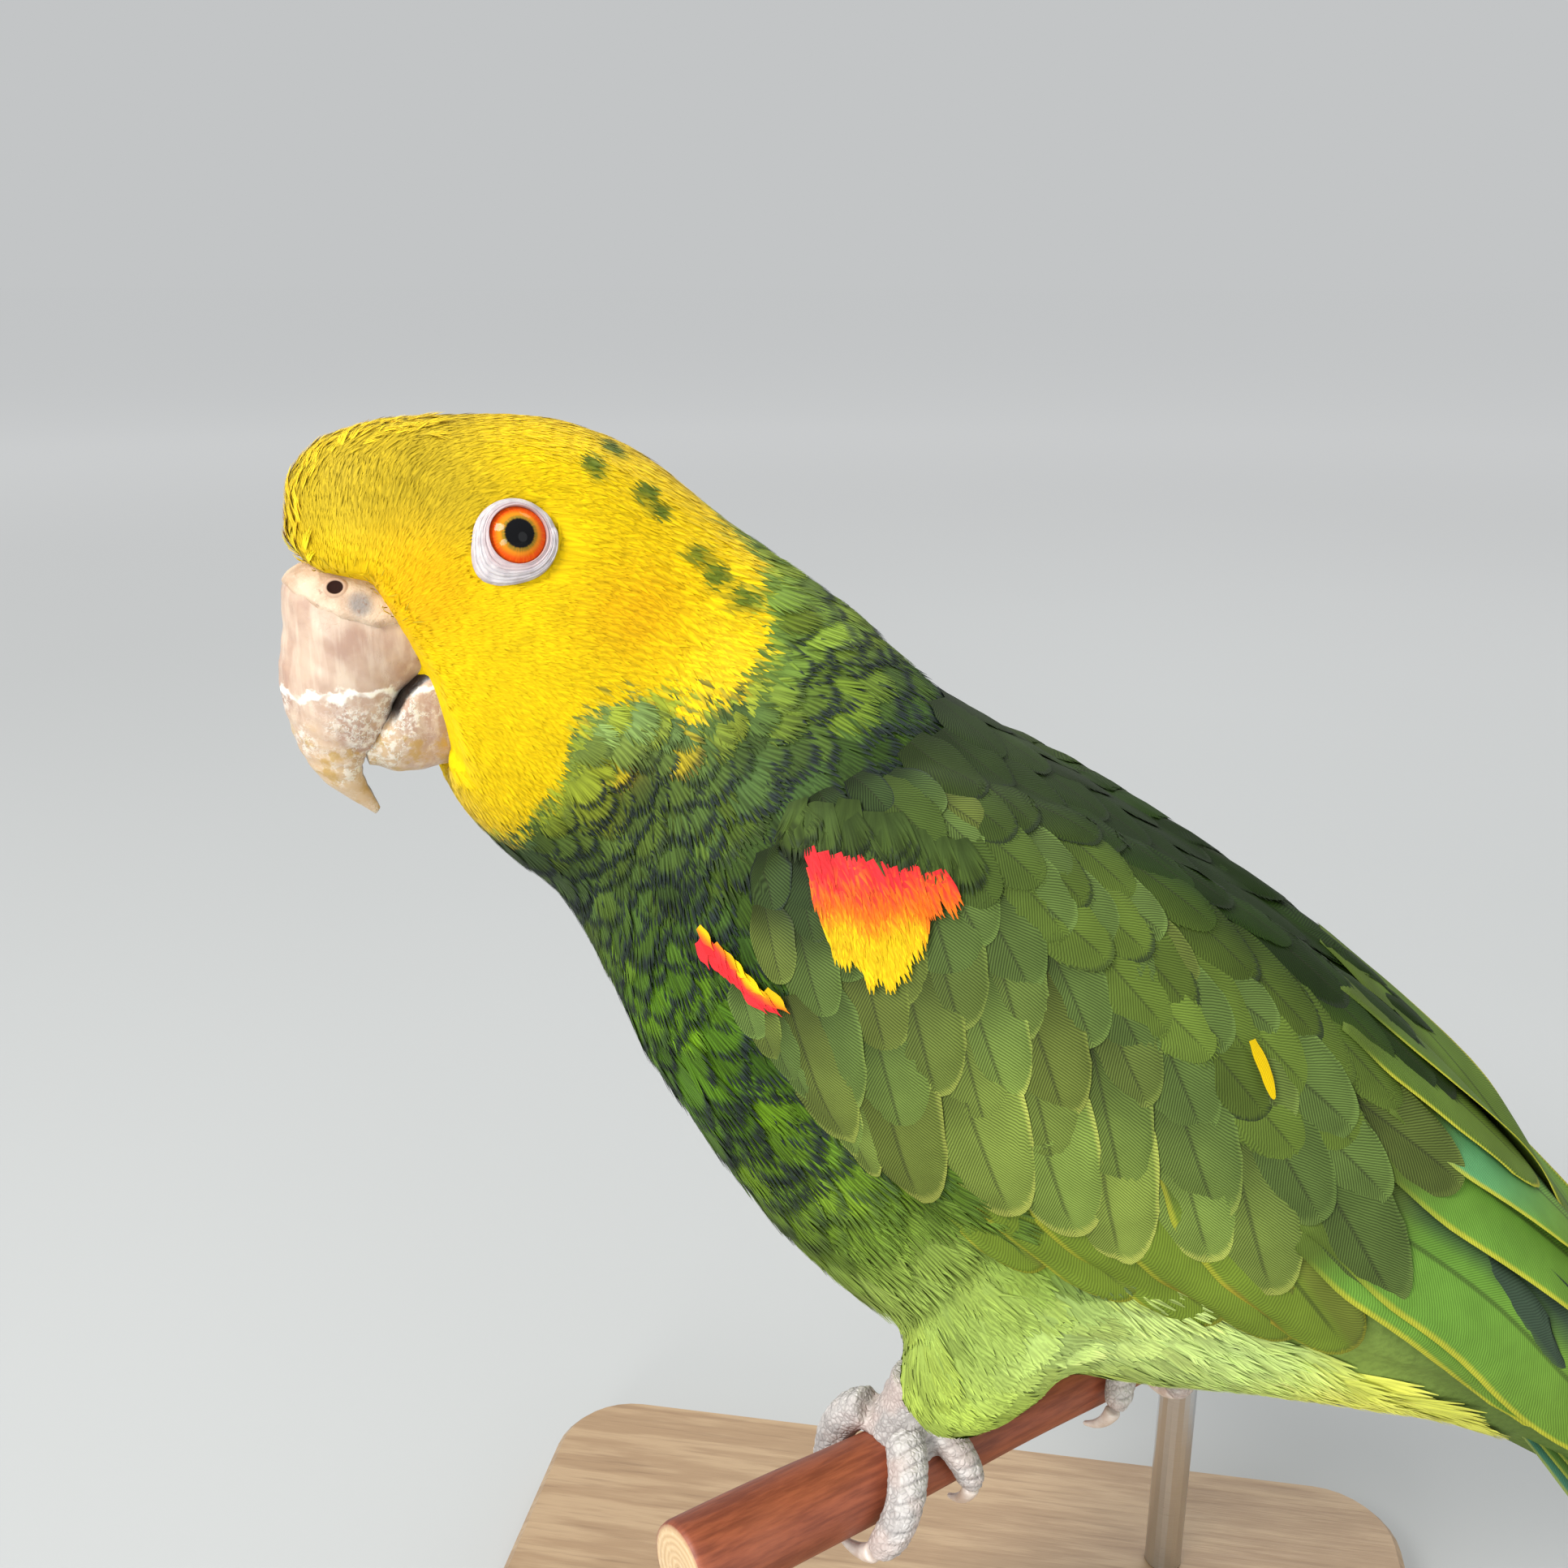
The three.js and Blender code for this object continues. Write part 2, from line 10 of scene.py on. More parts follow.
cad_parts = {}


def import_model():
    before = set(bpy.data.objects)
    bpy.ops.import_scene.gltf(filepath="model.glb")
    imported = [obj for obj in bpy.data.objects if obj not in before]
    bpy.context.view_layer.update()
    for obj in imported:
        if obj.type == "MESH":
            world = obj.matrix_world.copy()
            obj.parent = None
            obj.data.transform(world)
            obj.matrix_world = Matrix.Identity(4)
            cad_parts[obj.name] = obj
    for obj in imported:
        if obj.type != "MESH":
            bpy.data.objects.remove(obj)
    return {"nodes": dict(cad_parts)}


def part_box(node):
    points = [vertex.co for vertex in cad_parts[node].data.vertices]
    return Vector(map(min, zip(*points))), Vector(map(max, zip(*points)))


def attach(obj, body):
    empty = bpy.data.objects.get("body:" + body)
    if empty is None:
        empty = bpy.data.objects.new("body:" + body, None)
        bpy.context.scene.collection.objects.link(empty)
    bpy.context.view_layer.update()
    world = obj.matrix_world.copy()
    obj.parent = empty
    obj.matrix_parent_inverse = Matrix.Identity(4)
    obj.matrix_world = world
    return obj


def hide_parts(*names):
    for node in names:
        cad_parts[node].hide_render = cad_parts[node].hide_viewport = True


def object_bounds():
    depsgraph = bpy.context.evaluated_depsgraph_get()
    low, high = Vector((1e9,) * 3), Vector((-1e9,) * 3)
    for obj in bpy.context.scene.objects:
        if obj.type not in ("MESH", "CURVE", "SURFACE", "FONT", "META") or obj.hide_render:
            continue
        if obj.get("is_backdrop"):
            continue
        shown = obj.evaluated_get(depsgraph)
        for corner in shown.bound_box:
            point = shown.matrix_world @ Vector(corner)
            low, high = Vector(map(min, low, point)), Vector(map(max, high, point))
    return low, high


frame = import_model()
cad_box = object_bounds()
dice = np.random.default_rng(7)

# ---------------------------------------------------------------- where things are
# Feather work is laid out in millimetres from near the middle of the perch, x back, y right, z up.
MM = 0.001
AXIS_SLOPE = math.radians(38)
AXIS_LEVEL = 58.0
PERCH_HEADING = math.radians(46)
PERCH_FALL = math.radians(3)
perch_low, perch_high = (np.array(corner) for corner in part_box("perch"))
PERCH_LENGTH = 146.0
PERCH_MIDDLE = 1.0
PERCH_FROM = PERCH_MIDDLE - PERCH_LENGTH / 2
PERCH_TO = PERCH_MIDDLE + PERCH_LENGTH / 2
perch_along = np.array([math.cos(PERCH_HEADING), math.sin(PERCH_HEADING), -math.tan(PERCH_FALL)])
perch_along /= np.linalg.norm(perch_along)
PERCH = (perch_low + perch_high) / 2 - perch_along * PERCH_MIDDLE * MM

to_tail = np.array([math.cos(AXIS_SLOPE), 0, -math.sin(AXIS_SLOPE)])
to_back = np.array([math.sin(AXIS_SLOPE), 0, math.cos(AXIS_SLOPE)])

eye_at = {}
for word in ("left", "right"):
    low, high = (np.array(corner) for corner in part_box(f"eye_{word}"))
    eye_at[word] = ((low + high) / 2 - PERCH) / MM
head_left = eye_at["left"] - eye_at["right"]
head_left /= np.linalg.norm(head_left)
head_up = np.array([0.0, 0.0, 1.0])
head_back = np.cross(head_up, head_left)
BILL_BASE = np.array([-27.0, 0.0, -8.0])
EYE_BACK = -3.5
EYE_UP = 8.2
head_middle = (eye_at["left"] + eye_at["right"]) / 2 - head_back * EYE_BACK - head_up * EYE_UP


def bird(points):
    """World metres to the bird's own millimetres."""
    return (np.asarray(points) - PERCH) / MM


def world(places):
    """The bird's own millimetres to world metres."""
    return np.asarray(places) * MM + PERCH


def on_head(places):
    """Back, left and up from the middle of the head."""
    d = np.asarray(places) - head_middle
    return np.stack([d @ head_back, d @ head_left, d @ head_up], axis=-1)


def from_head(back, left, up):
    """The place of one point that is given by its way back, left and up on the head."""
    return head_middle + head_back * back + head_left * left + head_up * up


def from_head_rows(rows):
    """The same for many points, one to a row."""
    return head_middle + rows @ np.array([head_back, head_left, head_up])


def on_axis(places):
    """How far along the body, and how far above its axis."""
    q = np.asarray(places)
    return q @ to_tail, q @ to_back


def unit(v):
    """Directions with a length of 1."""
    v = np.asarray(v, dtype=float)
    return v / np.maximum(np.linalg.norm(v, axis=-1, keepdims=True), 1e-9)


def ramp(low, high, v):
    """0 below low, 1 above high, smooth between."""
    f = np.clip((np.asarray(v, dtype=float) - low) / (high - low), 0, 1)
    return f * f * (3 - 2 * f)


def blend(a, b, f):
    """a where f is 0, b where it is 1."""
    f = np.asarray(f)[..., None]
    return np.asarray(a) * (1 - f) + np.asarray(b) * f


def ripple(places, size, seed=0):
    """A smooth, repeatable wander between about -1 and 1 over the body."""
    q = np.asarray(places) / size + seed * 7.3
    return (
        np.sin(q[..., 0] * 1.7 + 1.3 * np.sin(q[..., 1] * 1.1 + seed))
        + np.sin(q[..., 1] * 2.1 + 1.7 * np.sin(q[..., 2] * 1.3 + seed))
        + np.sin(q[..., 2] * 1.9 + 1.1 * np.sin(q[..., 0] * 1.5 + seed))
    ) / 3


# ---------------------------------------------------------------- wires: node trees as sums
class Wire:
    """A socket that takes part in sums. Each sum adds the Math node that it needs."""

    def __init__(self, tree, socket):
        self.tree = tree
        self.socket = socket

    @classmethod
    def node(cls, tree, kind, settings=(), sockets=(), out=0):
        """Adds any node: its type, its settings, then the values or links of its sockets."""
        made = tree.nodes.new(kind)
        for name, value in dict(settings).items():
            if name == "stops":
                fill_ramp(made.color_ramp, value)
            else:
                setattr(made, name, value)
        for name, value in dict(sockets).items():
            if isinstance(value, Wire):
                tree.links.new(value.socket, made.inputs[name])
            else:
                made.inputs[name].default_value = value
        return cls(tree, made.outputs[out])

    def other(self, out):
        """Another output of the same node."""
        return Wire(self.tree, self.socket.node.outputs[out])

    def sum(self, operation, a, b=None, clamp=False):
        values = {0: a} if b is None else {0: a, 1: b}
        settings = {"operation": operation, "use_clamp": clamp}
        return Wire.node(self.tree, "ShaderNodeMath", settings, values)

    def __add__(self, other):
        return self.sum("ADD", self, other)

    def __sub__(self, other):
        return self.sum("SUBTRACT", self, other)

    def __rsub__(self, other):
        return self.sum("SUBTRACT", other, self)

    def __mul__(self, other):
        return self.sum("MULTIPLY", self, other)

    def __pow__(self, other):
        return self.sum("POWER", self, other)

    def __abs__(self):
        return self.sum("ABSOLUTE", self)

    def step(self, low, high):
        """0 below low and 1 above high, smooth between."""
        sockets = {"Value": self, "From Min": low, "From Max": high}
        settings = {"interpolation_type": "SMOOTHSTEP"}
        return Wire.node(self.tree, "ShaderNodeMapRange", settings, sockets)

    def wave(self):
        """A sine of this angle, lifted to run from 0 to 1."""
        return self.sum("SINE", self) * 0.5 + 0.5

    def parts(self):
        """The three parts of a vector."""
        split = Wire.node(self.tree, "ShaderNodeSeparateXYZ", (), {0: self})
        return split, split.other(1), split.other(2)


def fill_ramp(ramp_field, stops):
    while len(ramp_field.elements) < len(stops):
        ramp_field.elements.new(1)
    for element, (place, colour) in zip(ramp_field.elements, stops):
        element.position = place
        element.color = (*colour, 1)


class Finish:
    """A material under way: its tree, its shader and the few moves that every finish shares."""

    def __init__(self, name, **fixed):
        self.material = bpy.data.materials.new(name)
        self.material.use_nodes = True
        self.tree = self.material.node_tree
        self.shader = self.tree.nodes["Principled BSDF"]
        for socket, value in fixed.items():
            self.shader.inputs[socket.replace("_", " ")].default_value = value

    def node(self, kind, settings=(), sockets=(), out=0):
        return Wire.node(self.tree, kind, settings, sockets, out)

    def place(self):
        return self.node("ShaderNodeTexCoord", (), (), "Object")

    def field(self, name, out="Color"):
        return self.node("ShaderNodeAttribute", {"attribute_name": name}, (), out)

    def noise(self, size, detail=3.0, rough=0.5, at=None, stretch=None):
        """Noise whose features are about size metres across."""
        at = at or self.place()
        if stretch:
            at = self.node("ShaderNodeVectorMath", {"operation": "MULTIPLY"}, {0: at, 1: stretch})
        sockets = {"Vector": at, "Scale": 1 / size, "Detail": detail, "Roughness": rough}
        return self.node("ShaderNodeTexNoise", (), sockets)

    def mix(self, factor, a, b, how="MIX"):
        """One colour over another."""
        pick = lambda c: c if isinstance(c, Wire) else (*c, 1)
        settings = {"data_type": "RGBA", "blend_type": how}
        return self.node("ShaderNodeMix", settings, {0: factor, 6: pick(a), 7: pick(b)}, 2)

    def grey(self, value):
        """A grey colour from a number, for multiplying into a colour."""
        return self.node("ShaderNodeCombineColor", (), {0: value, 1: value, 2: value})

    def bump(self, height, depth, strength=1.0, soft=0.0):
        """Raised detail. The soft share turns the light towards the skin's own direction."""
        sockets = {"Height": height, "Distance": depth, "Strength": strength}
        if soft:
            outward = self.field("facing", "Vector")
            here = self.node("ShaderNodeNewGeometry", (), (), "Normal")
            lean = self.node("ShaderNodeVectorMath", {"operation": "MULTIPLY_ADD"},
                             {0: outward, 1: (soft, soft, soft), 2: here})
            sockets["Normal"] = self.node(
                "ShaderNodeVectorMath", {"operation": "NORMALIZE"}, {0: lean})
        return self.node("ShaderNodeBump", (), sockets)

    def feed(self, **wires):
        for socket, wire in wires.items():
            self.tree.links.new(wire.socket, self.shader.inputs[socket.replace("_", " ")])
        return self.material


# ---------------------------------------------------------------- meshes
def mesh_piece(name, points, faces, smooth=True):
    """A mesh object from world points and faces."""
    mesh = bpy.data.meshes.new(name)
    mesh.from_pydata([tuple(p) for p in np.asarray(points, dtype=float)], [], faces)
    mesh.update()
    if smooth:
        mesh.polygons.foreach_set("use_smooth", [True] * len(mesh.polygons))
    piece = bpy.data.objects.new(name, mesh)
    bpy.context.collection.objects.link(piece)
    return piece


def settled(piece, modifiers):
    """Applies modifiers to a piece and leaves a plain mesh."""
    for kind, settings in modifiers:
        modifier = piece.modifiers.new(kind.title(), kind)
        for name, value in settings.items():
            setattr(modifier, name, value)
    shown = piece.evaluated_get(bpy.context.evaluated_depsgraph_get())
    mesh = bpy.data.meshes.new_from_object(shown)
    piece.modifiers.clear()
    piece.data = mesh
    mesh.polygons.foreach_set("use_smooth", [True] * len(mesh.polygons))
    return piece


def node_copy(name, nodes, swell=0.0):
    """One object from copies of solids, each grown a little so that they run together."""
    whole = bmesh.new()
    for node in nodes:
        part = bmesh.new()
        part.from_mesh(frame["nodes"][node].data)
        bmesh.ops.remove_doubles(part, verts=part.verts, dist=1e-6)
        part.normal_update()
        for vert in part.verts:
            vert.co += vert.normal * swell
        held = bpy.data.meshes.new("held")
        part.to_mesh(held)
        whole.from_mesh(held)
        part.free()
        bpy.data.meshes.remove(held)
    mesh = bpy.data.meshes.new(name)
    whole.to_mesh(mesh)
    whole.free()
    piece = bpy.data.objects.new(name, mesh)
    bpy.context.collection.objects.link(piece)
    return piece


def points_of(piece):
    flat = np.empty(len(piece.data.vertices) * 3)
    piece.data.vertices.foreach_get("co", flat)
    return flat.reshape(-1, 3)


def normals_of(piece):
    flat = np.empty(len(piece.data.vertices) * 3)
    piece.data.vertices.foreach_get("normal", flat)
    return flat.reshape(-1, 3)


def move_points(piece, points):
    piece.data.vertices.foreach_set("co", np.asarray(points).ravel())
    piece.data.update()


def paint(piece, name, colours):
    """A colour for each point of a piece."""
    layer = piece.data.attributes.new(name, "FLOAT_COLOR", "POINT")
    rgba = np.ones((len(colours), 4))
    rgba[:, :3] = colours
    layer.data.foreach_set("color", rgba.ravel())


def number(piece, name, values):
    layer = piece.data.attributes.new(name, "FLOAT", "POINT")
    layer.data.foreach_set("value", np.asarray(values, dtype=float))


def vector(piece, name, values):
    layer = piece.data.attributes.new(name, "FLOAT_VECTOR", "POINT")
    layer.data.foreach_set("vector", np.asarray(values, dtype=float).ravel())


def tree_of(piece):
    """What rays and nearest places are found with."""
    piece.data.calc_loop_triangles()
    corners = [tuple(t.vertices) for t in piece.data.loop_triangles]
    return BVHTree.FromPolygons([v.co for v in piece.data.vertices], corners)


def first_hit(tree, start, way, reach):
    """Where a line from a place first meets a mesh, if it does within its reach."""
    return tree.ray_cast(Vector(world(start)), Vector(way), reach * MM)


def grid_faces(rows, columns, closed=False, first=0):
    """Faces over points laid row by row. A closed grid runs all the way round."""
    wide = columns if closed else columns + 1
    faces = []
    for r in range(rows):
        for c in range(columns):
            a = first + r * wide + c
            b = first + r * wide + (c + 1) % wide
            faces.append((a, b, b + wide, a + wide))
    return faces


# ---------------------------------------------------------------- markings
YELLOW = (0.86, 0.58, 0.001)
PALE_YELLOW = (0.54, 0.385, 0.017)
ORANGE_YELLOW = (0.84, 0.42, 0.001)
NECK_GREEN = (0.066, 0.112, 0.022)
NAPE_GREEN = (0.150, 0.235, 0.028)
TEAL_GREEN = (0.25, 0.36, 0.080)
LIME_GREEN = (0.38, 0.44, 0.03)
SPOT_GREEN = (0.060, 0.130, 0.012)
BACK_GREEN = (0.032, 0.078, 0.008)
BREAST_GREEN = (0.085, 0.190, 0.008)
LOW_BREAST = (0.15, 0.26, 0.020)
FLANK_GREEN = (0.32, 0.44, 0.085)
BELLY_GREEN = (0.56, 0.72, 0.22)
THIGH_YELLOW = (0.40, 0.53, 0.085)
COVERT_GREEN = (0.122, 0.188, 0.042)
GREATER_GREEN = (0.238, 0.336, 0.062)
COVERT_EDGE = (0.46, 0.50, 0.10)
COVERT_OLIVE = (0.15, 0.15, 0.02)
COVERT_DARK = (0.038, 0.070, 0.020)
SCAPULAR_GREEN = (0.120, 0.180, 0.026)
MANTLE_GREEN = (0.018, 0.042, 0.004)
SHOULDER_DARK = (0.040, 0.070, 0.014)
UNDERTAIL = (0.92, 0.94, 0.12)
SLATE = (0.020, 0.030, 0.030)
DUSKY = (0.030, 0.045, 0.020)
PATCH_RED = (0.80, 0.028, 0.035)
PATCH_ORANGE = (0.90, 0.16, 0.008)
PATCH_YELLOW = (0.80, 0.50, 0.004)

# The edge of the yellow on the side of the head: back from its middle, and up.
YELLOW_EDGE = (
    (-24, -60), (-16, -50), (-10, -45), (-5, -40), (0, -31), (2, -22), (6.5, -17.5), (19, -17.5),
    (27, -15.5), (33, -8), (36, 4),
)
YELLOW_BACK = 34.0

# Spots on the head: back, out to the side and up, then radius.
GREEN_SPOTS = (
    (10.2, 11, 18.4, 2.1), (14.8, 6, 20.6, 2.2), (18.9, 12.6, 14.3, 2.2), (20.6, 14.2, 11.6, 2.3),
    (26.0, 19.4, 5.4, 3.2), (27.6, 22, 1.8, 3.2), (30.6, 26, -1.3, 3.4),
)
YELLOW_TIPS = ((16.5, 33, -26.2, 2.8), (10.3, 27.5, -30.8, 3.0), (14.1, 32, -30.2, 2.6))

# The red and yellow of the shoulder: station, turn, how far it reaches each way.
SHOULDER = ((-103.0, 124), (-84.0, 136), (-83.5, 114), (-94.5, 113))


def near_spots(head, spots):
    """1 inside any of the spots on either side, falling to 0 at their edges."""
    found = np.zeros(len(head))
    for back, left, up, radius in spots:
        for side in (1, -1):
            away = np.linalg.norm(head - np.array([back, left * side, up]), axis=-1)
            found = np.maximum(found, 1 - ramp(radius * 0.7, radius * 1.4, away))
    return found


def turn_of(places):
    """Round the body from underneath, in degrees: 90 at its side, 180 on its back."""
    _, n = on_axis(places)
    return np.degrees(np.arctan2(np.abs(np.asarray(places)[..., 1]), AXIS_LEVEL - n))


def inside(shape, s, turn, degrees_to_mm=0.72):
    """How far inside a shape drawn on the body, in millimetres, below 0 outside it."""
    depth = np.full(len(s), 1e3)
    corners = [(a, b * degrees_to_mm) for a, b in shape]
    spin = 0.0
    for (ax, ay), (bx, by) in zip(corners, corners[1:] + corners[:1]):
        spin += ax * by - bx * ay
    for (ax, ay), (bx, by) in zip(corners, corners[1:] + corners[:1]):
        length = math.hypot(bx - ax, by - ay)
        gap = ((bx - ax) * (turn * degrees_to_mm - ay) - (by - ay) * (s - ax)) / length
        depth = np.minimum(depth, gap if spin > 0 else -gap)
    return depth


def from_yellow(places):
    """How far below or behind the yellow of the head, in millimetres."""
    head = on_head(places)
    edge = np.interp(head[:, 0], *zip(*YELLOW_EDGE))
    return -np.minimum(head[:, 2] - edge, YELLOW_BACK - head[:, 0])


def yellowness(places, ragged):
    """1 in the yellow of the head, 0 in the green of the neck."""
    wander = 2.6 * ripple(places, 5.0, 2) + ragged
    return ramp(-2.0, 2.0, wander - from_yellow(places))


def grown(colour, places):
    """The same colour at every place."""
    return np.tile(colour, (len(places), 1))


def body_marks(places, luck, ragged=0.0):
    """The colours of the plumage and of its feathers' rims, off the wings and tail."""
    head = on_head(places)
    s, n = on_axis(places)
    yellow = yellowness(places, ragged + 6.0 * (luck - 0.5))

    face = grown(YELLOW, places)
    front = ramp(2, -16, head[:, 0]) * ramp(2, 14, head[:, 2])
    face = blend(face, PALE_YELLOW, 0.9 * front)
    lores = np.exp(-((head[:, 0] + 20) ** 2 + (head[:, 2] - 1) ** 2) / 70)
    ear = np.exp(-(((head[:, 0] - 14) / 10) ** 2 + ((head[:, 2] + 4) / 8) ** 2))
    face = blend(face, ORANGE_YELLOW, np.clip(0.8 * lores + 0.75 * ear, 0, 1))
    face = blend(face, SPOT_GREEN, 0.92 * near_spots(head, GREEN_SPOTS))

    low = ramp(66, 34, n)
    green = blend(grown(BACK_GREEN, places), NECK_GREEN, ramp(-92, -120, s))
    green = blend(green, NAPE_GREEN, ramp(-104, -118, s) * ramp(84, 96, n))
    green = blend(green, BREAST_GREEN, low * ramp(-122, -100, s))
    jowl = np.exp(-(((head[:, 0] - 9) / 8) ** 2 + ((head[:, 2] + 23) / 7) ** 2))
    below = np.exp(-(((head[:, 0] - 4) / 6) ** 2 + ((head[:, 2] + 33) / 7) ** 2))
    green = blend(green, TEAL_GREEN, np.clip(1.1 * jowl, 0, 1))
    green = blend(green, LIME_GREEN, np.clip(1.0 * below, 0, 1) * 0.8)
    green = blend(green, LOW_BREAST, low * ramp(-84, -58, s))
    green = blend(green, FLANK_GREEN, ramp(-58, -36, s) * ramp(60, 38, n))
    green = blend(green, BELLY_GREEN, ramp(-30, -6, s) * ramp(80, 60, n))
    thigh = ramp(42, 24, places[:, 2]) * ramp(60, 20, places[:, 0]) * ramp(-40, -20, places[:, 0])
    green = blend(green, THIGH_YELLOW, thigh)
    green = blend(green, UNDERTAIL, ramp(8, 34, s) * ramp(82, 70, n) * 0.85)
    green = blend(green, SCAPULAR_GREEN, ramp(20, 50, s) * ramp(84, 94, n))
    other = np.modf(luck * 7.3)[0]
    soft = np.clip(ramp(-72, -44, s) * ramp(66, 48, n) + thigh + ramp(-20, 0, s), 0, 1)
    firm = 1 - 0.8 * soft
    green = green * (1 + 0.60 * firm * (luck - 0.5))[:, None]
    olive = np.minimum(green * (2.0, 1.7, 0.6), 1)
    green = blend(green, olive, 0.35 * firm * ramp(0.6, 0.95, other))
    green = blend(green, green * (0.85, 0.95, 1.6), 0.35 * firm * ramp(0.35, 0.05, other))
    near = ramp(12, 0, from_yellow(places)) * ramp(-108, -118, s)
    green = blend(green, LIME_GREEN, 0.8 * near * ramp(0.5, 0.8, other))

    tint = blend(green, face, yellow)
    tint = blend(tint, YELLOW, 0.9 * near_spots(head, YELLOW_TIPS))
    banded = ramp(1.0, 0.7, other) * ramp(6, 13, from_yellow(places))
    rim = blend(tint, SLATE, (1 - yellow) * banded * 0.97)
    rim = blend(rim, np.minimum(tint * 1.25, 1), soft * (1 - yellow))
    return np.clip(tint, 0, 1), np.clip(rim, 0, 1)


def brow_marks(places, luck, ragged=0.0):
    """The loose tufts of the forehead: paler than the feathers under them, partly painted light
    against their shadows.
    """
    tint, rim = body_marks(places, luck, ragged)
    # Brighter by half: partly paler strands, partly painted light against the shadows between the
    # wisps.
    return np.minimum(tint * 1.5, 1), np.minimum(rim * 1.7, 1)


def wing_marks(places, luck, ragged=0.0):
    """The colours of the wing's small and middle feathers."""
    s, _ = on_axis(places)
    turn = turn_of(places)
    low = ramp(-84, -52, s) * ramp(132, 106, turn)
    tint = blend(grown(COVERT_GREEN, places), GREATER_GREEN, low)
    tint = tint * (1 + 0.24 * (luck - 0.5))[:, None]
    tint = blend(tint, COVERT_OLIVE, 0.45 * ramp(0.6, 0.95, luck))
    rim = blend(tint * 1.3, COVERT_EDGE, 0.8 * low)
    front = ramp(-88, -97, s) * ramp(100, 110, turn)
    tint = blend(tint, COVERT_DARK, 0.85 * front)
    rim = blend(rim, SLATE, 0.9 * front)
    warm, share = patch_marks(s, turn, places, ragged)
    tint = blend(tint, warm, share)
    rim = blend(rim, warm, share)
    return np.clip(tint, 0, 1), np.clip(rim, 0, 1)


def patch_marks(s, turn, places, ragged):
    """The red, orange and yellow of the shoulder, and how much they cover."""
    deep = inside(SHOULDER, s, turn) + 0.5 * ragged
    down = (s + 103) * 0.55 + (124 - turn) * 0.62 + 2.2 * ripple(places, 2.6, 9) + ragged
    hot = blend(grown(PATCH_RED, places), PATCH_ORANGE, ramp(4.5, 8.5, down))
    hot = blend(hot, PATCH_YELLOW, ramp(10.0, 14.5, down))
    return hot, ramp(-0.5, 0.5, deep)


def patch_tuft_marks(places, luck, ragged=0.0):
    """The colours of the thin tufts that lie over the patches."""
    s, _ = on_axis(places)
    warm, _ = patch_marks(s, turn_of(places), places, ragged)
    return warm, warm


def bend_marks(places, luck, ragged=0.0):
    """Red below and yellow above, along the bend of the wing."""
    s, _ = on_axis(places)
    above = 0.70 * (turn_of(places) - 89.4) - 0.30 * (s + 97) - 1.6 * ramp(-96, -101, s)
    warm = blend(grown(PATCH_RED, places), PATCH_ORANGE, ramp(0.0, 1.0, above))
    warm = blend(warm, PATCH_YELLOW, ramp(0.8, 1.6, above))
    return warm, warm


def fleck_marks(places, luck, ragged=0.0):
    """The one yellow feather in each wing."""
    return grown(YELLOW, places), grown(YELLOW, places)


def bristle_marks(places, luck, ragged=0.0):
    """The short hairs beside the cere, some of them pale."""
    hair = blend(grown(PALE_YELLOW, places), YELLOW, ramp(0.3, 0.5, luck))
    return hair, hair


def shoulder_marks(places, luck, ragged=0.0):
    """The colours of the long feathers over the shoulders, dusky at their tips."""
    s, _ = on_axis(places)
    tint = blend(grown(SCAPULAR_GREEN, places), MANTLE_GREEN, ramp(150, 164, turn_of(places)))
    tint = tint * (1 + 0.5 * (luck - 0.5))[:, None]
    tint = blend(tint, SHOULDER_DARK, 0.75 * ramp(-58, -86, s))
    return tint, blend(grown(DUSKY, places), tint, 0.15 + 0.85 * ramp(0.3, 0.8, luck))


# ---------------------------------------------------------------- skin
FLESH = ("head", "neck", "trunk", "thigh_left", "thigh_right", "wing_left", "wing_right")

# In metres: the grain of the remesh, how far the solids grow before it, the deepest measure.
SKIN_GRAIN = 0.0013
SWELL = 0.0006
THICKEST = 0.03

# Each eye looks outward and a little up. Its lid lies level with the face around it.
EYE_RADIUS = 6.6
LID_RADIUS = 4.55
LID_LEVEL = math.sqrt(EYE_RADIUS ** 2 - LID_RADIUS ** 2)
LOOKS_UP = math.radians(19)
LOOK = {}
LID_UP = {}
GAZE = {}
for word, side in (("left", 1), ("right", -1)):
    LOOK[word] = head_left * side * math.cos(LOOKS_UP) + head_up * math.sin(LOOKS_UP)
    LID_UP[word] = head_up * math.cos(LOOKS_UP) - head_left * side * math.sin(LOOKS_UP)
    lid = eye_at[word] - head_back * 0.8 + head_up * 0.8 + head_left * side * LID_LEVEL
    GAZE[word] = lid - LOOK[word] * (LID_LEVEL + 0.3)


def on_eye(places, word):
    """Places in one eye's frame: back, up and outward from the ball's middle."""
    away = places - GAZE[word]
    return away @ head_back, away @ LID_UP[word], away @ LOOK[word]


def bulge(back, up):
    """The terms of a smooth bulge over the hollow behind an eye."""
    return np.stack([np.ones_like(back), back, up, back ** 2, up ** 2, back * up], axis=-1)


def fill_sockets(skin):
    """Brings the hollows behind the eyes up towards the face around them."""
    tree = tree_of(skin)
    moved = bird(points_of(skin))
    far_out = 16
    for word in ("left", "right"):
        seen = []
        for reach in (9.0, 11.5):
            for a in np.linspace(0, 2 * math.pi, 20, endpoint=False):
                back, up = reach * math.cos(a), reach * math.sin(a)
                start = GAZE[word] + head_back * back + LID_UP[word] * up + LOOK[word] * far_out
                hit = first_hit(tree, start, -LOOK[word], 30)
                if hit[0]:
                    seen.append((back, up, far_out - hit[3] / MM))
        back, up, level = np.array(seen).T
        fit, *_ = np.linalg.lstsq(bulge(back, up), level, rcond=None)
        back, up, out = on_eye(moved, word)
        reach = np.hypot(back, up)
        wanted = bulge(back, up) @ fit - 0.2 - 2.5 * ramp(6.2, 5.0, reach)
        low = (reach < 8.6) & (out > -12) & (out < wanted)
        moved[low] += LOOK[word] * (wanted - out)[low, None]
    move_points(skin, world(moved))


